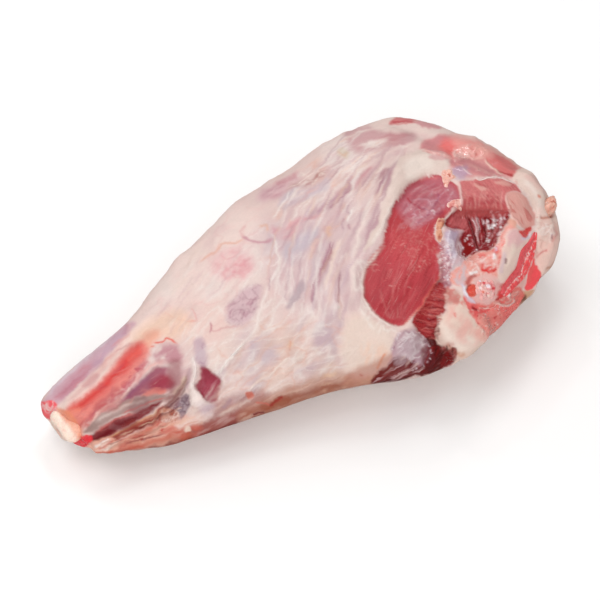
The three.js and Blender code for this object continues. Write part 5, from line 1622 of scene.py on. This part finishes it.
def makeHipStrip():
    # a band between two edges on the flesh, crowned across, that runs inward as a plate
    s = hipStrip
    u = np.linspace(0, 1, s["rows"])
    v = np.linspace(0, 1, s["across"])
    left = curveThrough(pairs(s["left"]), u)
    right = curveThrough(pairs(s["right"]), u)
    spots = mixed(left[:, None], right[:, None], v[None, :, None])
    point, normal = fleshMap.at(spots)
    inward = -unit(normal.reshape(-1, 3).mean(0))
    fromSide = np.minimum(v, 1 - v)[None] / s["edgeRound"]
    edge = np.minimum(fromSide, np.minimum(u, 1 - u)[:, None] / s["endRound"])
    crown = np.sqrt(np.clip(1 - (1 - np.clip(edge, 0, 1)) ** 2, 0, 1))
    deep, middle, width = s["groove"]
    groove = deep * np.exp(-((v - middle) / width) ** 2)
    grit = (s["grit"] * noise(point, 1.7, 81, 2) - groove) * np.clip(edge, 0, 1)
    rise = -s["sink"] + (s["proud"] + s["sink"]) * crown + grit
    top = point + normal * rise[..., None]
    count = s["wallRows"]
    fall = np.linspace(0, 1, count + 1)[1:, None, None]
    index = np.arange(top[..., 0].size).reshape(top.shape[:2])
    quads = np.stack([index[:-1, :-1], index[:-1, 1:], index[1:, 1:], index[1:, :-1]], -1).reshape(-1, 4)
    ring = np.concatenate([index[0, :-1], index[:-1, -1], index[-1, :0:-1], index[:0:-1, 0]])
    flatTop = top.reshape(-1, 3)
    walls = flatTop[ring][None] + inward * fall * s["depth"]
    rings = np.concatenate([ring[None], index.size + np.arange(count * len(ring)).reshape(count, -1)])
    ahead = np.roll(rings, -1, 1)
    sides = np.stack([rings[:-1], rings[1:], ahead[1:], ahead[:-1]], -1).reshape(-1, 4)
    base = np.stack([np.full(len(ring), index.size + count * len(ring)), rings[-1], ahead[-1]], -1)
    points = np.concatenate([flatTop, walls.reshape(-1, 3), walls[-1].mean(0)[None]])
    piece = meshOf("hipStrip", points, quads.tolist() + sides.tolist() + base.tolist())
    outwardFaces(piece)
    # a dark inner band and a bright outer one, with a flecked line of gristle between them
    wobble = 0.16 * noise(point, 5, 83, 2)
    place = v[None] + wobble
    colour = {name: linearColour(s[name]) for name in ("inner", "outer", "pore", "fleck", "rim")}
    tint = mixed(colour["inner"], colour["outer"], smoothstep(0.4, 0.56, place)[..., None])
    pores = smoothstep(0.1, 0.6, noise(point, 1.6, 87, 2))
    tint = mixed(tint, colour["pore"], 0.55 * pores[..., None])
    pale = smoothstep(0.15, 0.6, noise(point, 1.3, 89, 2))
    tint = mixed(tint, colour["fleck"], (0.55 * pale * smoothstep(0.2, 0.5, place))[..., None])
    seam = np.exp(-((place - 0.5) / 0.05) ** 2) * smoothstep(-0.3, 0.3, noise(point, 1.1, 93, 1))
    tint = mixed(tint, colour["fleck"], 0.9 * seam[..., None])
    tint = mixed(tint, colour["rim"], 0.8 * smoothstep(0.86, 0.98, place)[..., None])
    rest = np.tile(linearColour(s["rim"]), (len(points) - len(flatTop), 1))
    setAttribute(piece, "tint", "FLOAT_COLOR", np.concatenate([tint.reshape(-1, 3), rest]))
    finishPiece(piece, sawnBone, ["hip_bone"])


def outwardFaces(piece):
    # turns every face of a closed mesh outwards
    work = bmesh.new()
    work.from_mesh(piece.data)
    bmesh.ops.recalc_face_normals(work, faces=work.faces)
    work.to_mesh(piece.data)
    work.free()


makeHipStrip()
print("hip strip made")


rimFlap = {
    "spot": (547, 207),          # pixels
    "size": (9.6, 5.2, 3.9),     # half length, half width and half thickness in mm
    "lift": 1.8,
    "turn": 18,                  # degrees of its length in the picture
    "lumpy": 0.4,
    "rows": 40,
    "columns": 64,
    "fat": 0xf0baa6,
    "blush": 0xec9880,
    "fold": 0xce6e5a,
}


def makeRimFlap():
    # a squashed ball seated on the flesh: x along the turn in the surface, z out of it, lumpy by noise
    s = rimFlap
    point, normal = fleshMap.at(np.array([s["spot"]]))
    point, normal = point[0], normal[0]
    right, up = cameraAxes()[:2]
    pointing = right * np.cos(np.radians(s["turn"])) + up * np.sin(np.radians(s["turn"]))
    across = unit(np.cross(normal, np.cross(pointing, normal)))
    other = np.cross(normal, across)
    lat = np.linspace(0, np.pi, s["rows"])[1:-1]
    lon = np.linspace(0, 2 * np.pi, s["columns"], endpoint=False)
    ball = np.stack([np.sin(lat)[:, None] * np.cos(lon)[None], np.sin(lat)[:, None] * np.sin(lon)[None],
                     np.cos(lat)[:, None] + 0 * lon[None]], -1)
    bumps = 1 + s["lumpy"] * noise(ball * 10, 6, 95, 3)
    local = np.concatenate([(ball * bumps[..., None]).reshape(-1, 3), [[0, 0, 1], [0, 0, -1]]]) * s["size"]
    points = point + normal * s["lift"]
    points = points + local[:, :1] * across + local[:, 1:2] * other + local[:, 2:] * normal
    piece = meshOf("rimFlap", points, tubeFaces(len(lat), s["columns"]))
    outwardFaces(piece)
    length = max(s["size"])
    spread = smoothstep(-0.3, 0.6, noise(points, 0.35 * length, 100, 3))
    tint = mixed(linearColour(s["fat"]), linearColour(s["blush"]), spread[:, None])
    fold = smoothstep(0.35, 0.6, noise(points, 0.28 * length, 104, 2))
    tint = mixed(tint, linearColour(s["fold"]), fold[:, None])
    setAttribute(piece, "tint", "FLOAT_COLOR", tint)
    finishPiece(piece, moistTissue)


makeRimFlap()

# outline in the picture, height in mm, power of the crown, x, y, radius and tint of the dots
lumps = {
    "hipKnob": {"edge": [475.4, 283, 480, 278.4, 486, 276.6, 492, 279, 495.4, 284, 497, 291, 494, 299, 487,
        301.4, 480, 300, 475.4, 293],
                "tall": 1.7, "flat": 2.8, "uneven": 2.1, "slot": "bone", "rim": 0xecaca8,
                "tints": [0xeebab4, 0xe08282],
                "dots": [(483.4, 283, 1.8, 0xd23a46), (482, 292, 1.4, 0xe47868),
                         (492.6, 288, 1.6, 0xcc2c38), (487.6, 286, 2.2, 0xf0e4ea),
                         (479.4, 288, 1.4, 0xf4e2e2), (488, 295.4, 1.6, 0xf6d6cc),
                         (480, 280.6, 1.4, 0xe8e2ec), (494, 294, 1.2, 0xe25654)]},
    "bloodSpot": {"edge": [466.6, 287, 470.4, 284.6, 474, 286.6, 476, 291, 475, 295, 471, 296, 467.6, 292.4],
                  "tall": 0.7, "flat": 2, "uneven": 0.3, "slot": "flesh", "rim": 0xe26e5c,
                  "tints": [0xe05240, 0xce3c34], "dots": []},
    "upperTag": {"edge": [440, 171.2, 446, 168.4, 451.4, 168, 453.5, 173.3, 457.6, 177.3, 451.4, 180.4,
        448.6, 185, 447.3, 189.6, 443.3, 187.6, 441.2, 179.4],
                 "tall": 1.3, "flat": 3, "uneven": 1.3, "slot": "flesh", "rim": 0xeec6b8,
                 "tints": [0xecb6a6, 0xd89080],
                 "dots": [(449, 176, 1.8, 0xce7462), (444, 184, 1.5, 0xd68878)]},
    "middleTag": {"edge": [451, 200, 456, 198, 460.8, 198.8, 461.8, 205, 461.8, 212, 457, 208, 452, 206.4,
        447.3, 208, 445.6, 204],
                  "tall": 1.2, "flat": 3, "uneven": 1.2, "slot": "flesh", "rim": 0xf2cec4,
                  "tints": [0xecb4a8, 0xd8827a], "dots": []},
    "lowerTag": {"edge": [437, 219, 441, 216.6, 444.6, 217.6, 444, 224, 441.4, 230, 443, 236, 441, 243,
        437.4, 243, 435.6, 236, 434.8, 228],
                 "tall": 1.4, "flat": 3, "uneven": 1.3, "slot": "flesh", "rim": 0xe8baa4,
                 "tints": [0xd69274, 0xbc6450], "dots": [(439, 222, 1.4, 0xb45444)]},
}


def lumpPiece(name, lump):
    # rings that shrink from an outline on the flesh to its middle, raised as 1 - u^flat, over a flat back
    rows = 30
    columns = 90
    sunk = 0.4       # mm that the rim lies under the flesh
    backDepth = 1.6
    outline = curveThrough(pairs(lump["edge"]), np.linspace(0, 1, columns, endpoint=False), closed=True)
    outline = outline + 0.5 * np.stack([noise(outline, 2.6, 5, 2), noise(outline, 2.6, 6, 2)], -1)
    centre = outline.mean(0)
    u = np.linspace(0, 1, rows)[1:]
    spots = mixed(centre, outline[None], u[:, None, None])
    point, normal = fleshMap.at(spots)
    rise = lump["tall"] * (1 - u[:, None] ** lump["flat"])
    rise = rise + lump["uneven"] * noise(point, 2.4, 15, 3) * (1 - u[:, None] ** 4) - sunk
    top = point + normal * rise[..., None]
    back = point[::-1] - normal[::-1] * backDepth
    rings = np.concatenate([top, back])
    tips = np.stack([top[0].mean(0), back[-1].mean(0)])
    piece = meshOf(name, np.concatenate([rings.reshape(-1, 3), tips]), tubeFaces(len(rings), columns))
    outwardFaces(piece)
    tint = mixed(linearColour(lump["tints"][0]), linearColour(lump["tints"][1]),
                 smoothstep(-0.2, 0.5, noise(point, 2.2, 25, 2))[..., None])
    tint = mixed(tint, linearColour(lump["rim"]), (0.9 * smoothstep(0.55, 0.95, u)[:, None, None]))
    for x, y, radius, colour in lump["dots"]:
        away = np.hypot(spots[..., 0] - x, spots[..., 1] - y)
        tint = mixed(tint, linearColour(colour), np.exp(-(away / radius) ** 4)[..., None])
    tint = np.concatenate([tint, tint[::-1]]).reshape(-1, 3)
    setAttribute(piece, "tint", "FLOAT_COLOR", withTips(tint))
    finishPiece(piece, sawnBone if lump["slot"] == "bone" else moistTissue)


for name, lump in lumps.items():
    lumpPiece(name, lump)
print("flap, knob and tags made")


# strands
def makeStrands():
    # circles carried along each path on the flesh, flattened against it, tapering at both ends
    sides = 8
    flatness = 0.6
    points, faces, tints = [], [], []
    start = 0
    for strand in silverStrands:
        steps = strand["steps"]
        t = np.linspace(0, 1, steps)
        spots = curveThrough(pairs(strand["path"]), t)
        spots = spots + 0.5 * np.stack([noise(spots, 6, 3, 2), noise(spots, 6, 4, 2)], -1)
        point, normal = fleshMap.at(spots)
        tangent = unit(np.gradient(point, axis=0))
        across = unit(np.cross(tangent, normal))
        taper = np.sqrt(np.clip(np.minimum(t, 1 - t) / 0.2, 0.004, 1))
        swell = 1 + 0.25 * noise(spots, 5, 7, 2)
        radius = strand["radius"] * taper * swell
        turn = np.linspace(0, 2 * np.pi, sides, endpoint=False)
        seat = point + 0.1 * normal
        aside = np.cos(turn)[None, :, None] * across[:, None]
        away = flatness * np.sin(turn)[None, :, None] * normal[:, None]
        ring = seat[:, None] + radius[:, None, None] * (aside + away)
        flat = ring.reshape(-1, 3)
        tips = seat[[0, -1]]
        faces += tubeFaces(steps, sides, start)
        points.append(np.concatenate([flat, tips]))
        tints.append(linearColour(strand["tint"]) * (1 + 0.12 * noise(points[-1], 3, 5, 2))[:, None])
        start += len(points[-1])
    piece = meshOf("silverStrands", np.concatenate(points), faces)
    outwardFaces(piece)
    setAttribute(piece, "tint", "FLOAT_COLOR", np.concatenate(tints))
    finishPiece(piece, moistTissue)


silverStrands = [
    {"path": [218.5, 375, 226, 363, 236, 351, 245, 343],
     "radius": 0.22, "tint": 0xf0e4de, "steps": 40},
    {"path": [194, 360, 195.6, 370, 193.6, 380, 192.6, 392],
     "radius": 0.4, "tint": 0xf0ded8, "steps": 50},
    {"path": [475.4, 178.8, 480.2, 180, 487.8, 178.1, 497.4, 177.2, 505, 179.6, 514, 183.4],
     "radius": 0.34, "tint": 0xf2dad4, "steps": 60},
    {"path": [482, 307.8, 488, 308.4, 493.6, 306.8, 497.4, 303.4, 502.2, 305, 508, 305, 512.7, 303],
     "radius": 0.2, "tint": 0xf6beb4, "steps": 60},
]
makeStrands()
print("strands made")


# floor, light and camera
studio = {
    "floorTint": (0.97, 0.97, 0.97, 1),
    "floorRoughness": 0.9,
    "floorReach": 6,         # metres from the middle
    "worldTint": (1.0, 0.985, 0.97, 1),
    "worldStrength": 0.53,
    "worldMirrored": 0.16,   # the same room as wet flesh mirrors it
    "lightAim": (0.05, 0, 0.04),
    # place in metres, width in metres, power in watts
    "lights": {
        "keyLight": ((-0.45, 0.25, 1.25), 1.0, 4.7),
        "topLight": ((0.35, 0.35, 1.1), 0.45, 2),
        "farLight": ((-0.3, 0.95, 0.55), 0.6, 1.6),
        "sideLight": ((-0.5, -0.9, 0.5), 0.8, 4.5),
        "sparkLight": ((0.2, 0.62, 0.9), 0.06, 0.5),
        "rearLight": ((0.86, 0.5, 0.7), 0.16, 0.9),
        "rimLight": ((0.62, -0.83, 0.56), 0.07, 0.3),
    },
}


def makeStudio():
    s = studio
    floorMesh = bpy.data.meshes.new("floor")
    side = s["floorReach"]
    corners = [(-side, -side, 0), (side, -side, 0), (side, side, 0), (-side, side, 0)]
    floorMesh.from_pydata(corners, [], [(0, 1, 2, 3)])
    floor = bpy.data.objects.new("floor", floorMesh)
    bpy.context.scene.collection.objects.link(floor)
    material, _, shader = newMaterial("paleFloor")
    setSockets(shader, {"Base Color": s["floorTint"], "Roughness": s["floorRoughness"]})
    floor.data.materials.append(material)
    floor.visible_glossy = False
    world = bpy.data.worlds.new("softRoom")
    world.use_nodes = True
    background = world.node_tree.nodes["Background"]
    background.inputs[0].default_value = s["worldTint"]
    mirrored = nodeIn(world.node_tree, "ShaderNodeLightPath").outputs["Is Glossy Ray"]
    strength = rangeOf(world.node_tree, mirrored, s["worldStrength"], s["worldMirrored"])
    world.node_tree.links.new(strength, background.inputs[1])
    bpy.context.scene.world = world
    for name, (place, width, power) in s["lights"].items():
        lamp = bpy.data.lights.new(name, "AREA")
        lamp.shape = "DISK"
        lamp.size = width
        lamp.energy = power
        light = bpy.data.objects.new(name, lamp)
        light.location = place
        ahead = Vector(s["lightAim"]) - Vector(place)
        light.rotation_euler = ahead.to_track_quat("-Z", "Y").to_euler()
        bpy.context.scene.collection.objects.link(light)


def makeCamera():
    right, up, back = (Vector(axis) for axis in cameraAxes())
    lens = bpy.data.cameras.new("viewCamera")
    lens.lens = viewCamera["lens"]
    lens.sensor_width = viewCamera["sensor"]
    lens.clip_start = 0.01
    lens.clip_end = 20
    camera = bpy.data.objects.new("viewCamera", lens)
    aim = Vector(viewCamera["aim"]) * millimetre
    turned = Matrix((right, up, back)).transposed().to_4x4()
    camera.matrix_world = Matrix.Translation(aim + back * viewCamera["distance"] * millimetre) @ turned
    bpy.context.scene.collection.objects.link(camera)
    bpy.context.scene.camera = camera


makeStudio()
makeCamera()
bpy.context.scene.view_settings.view_transform = "Standard"
print("studio and camera ready")
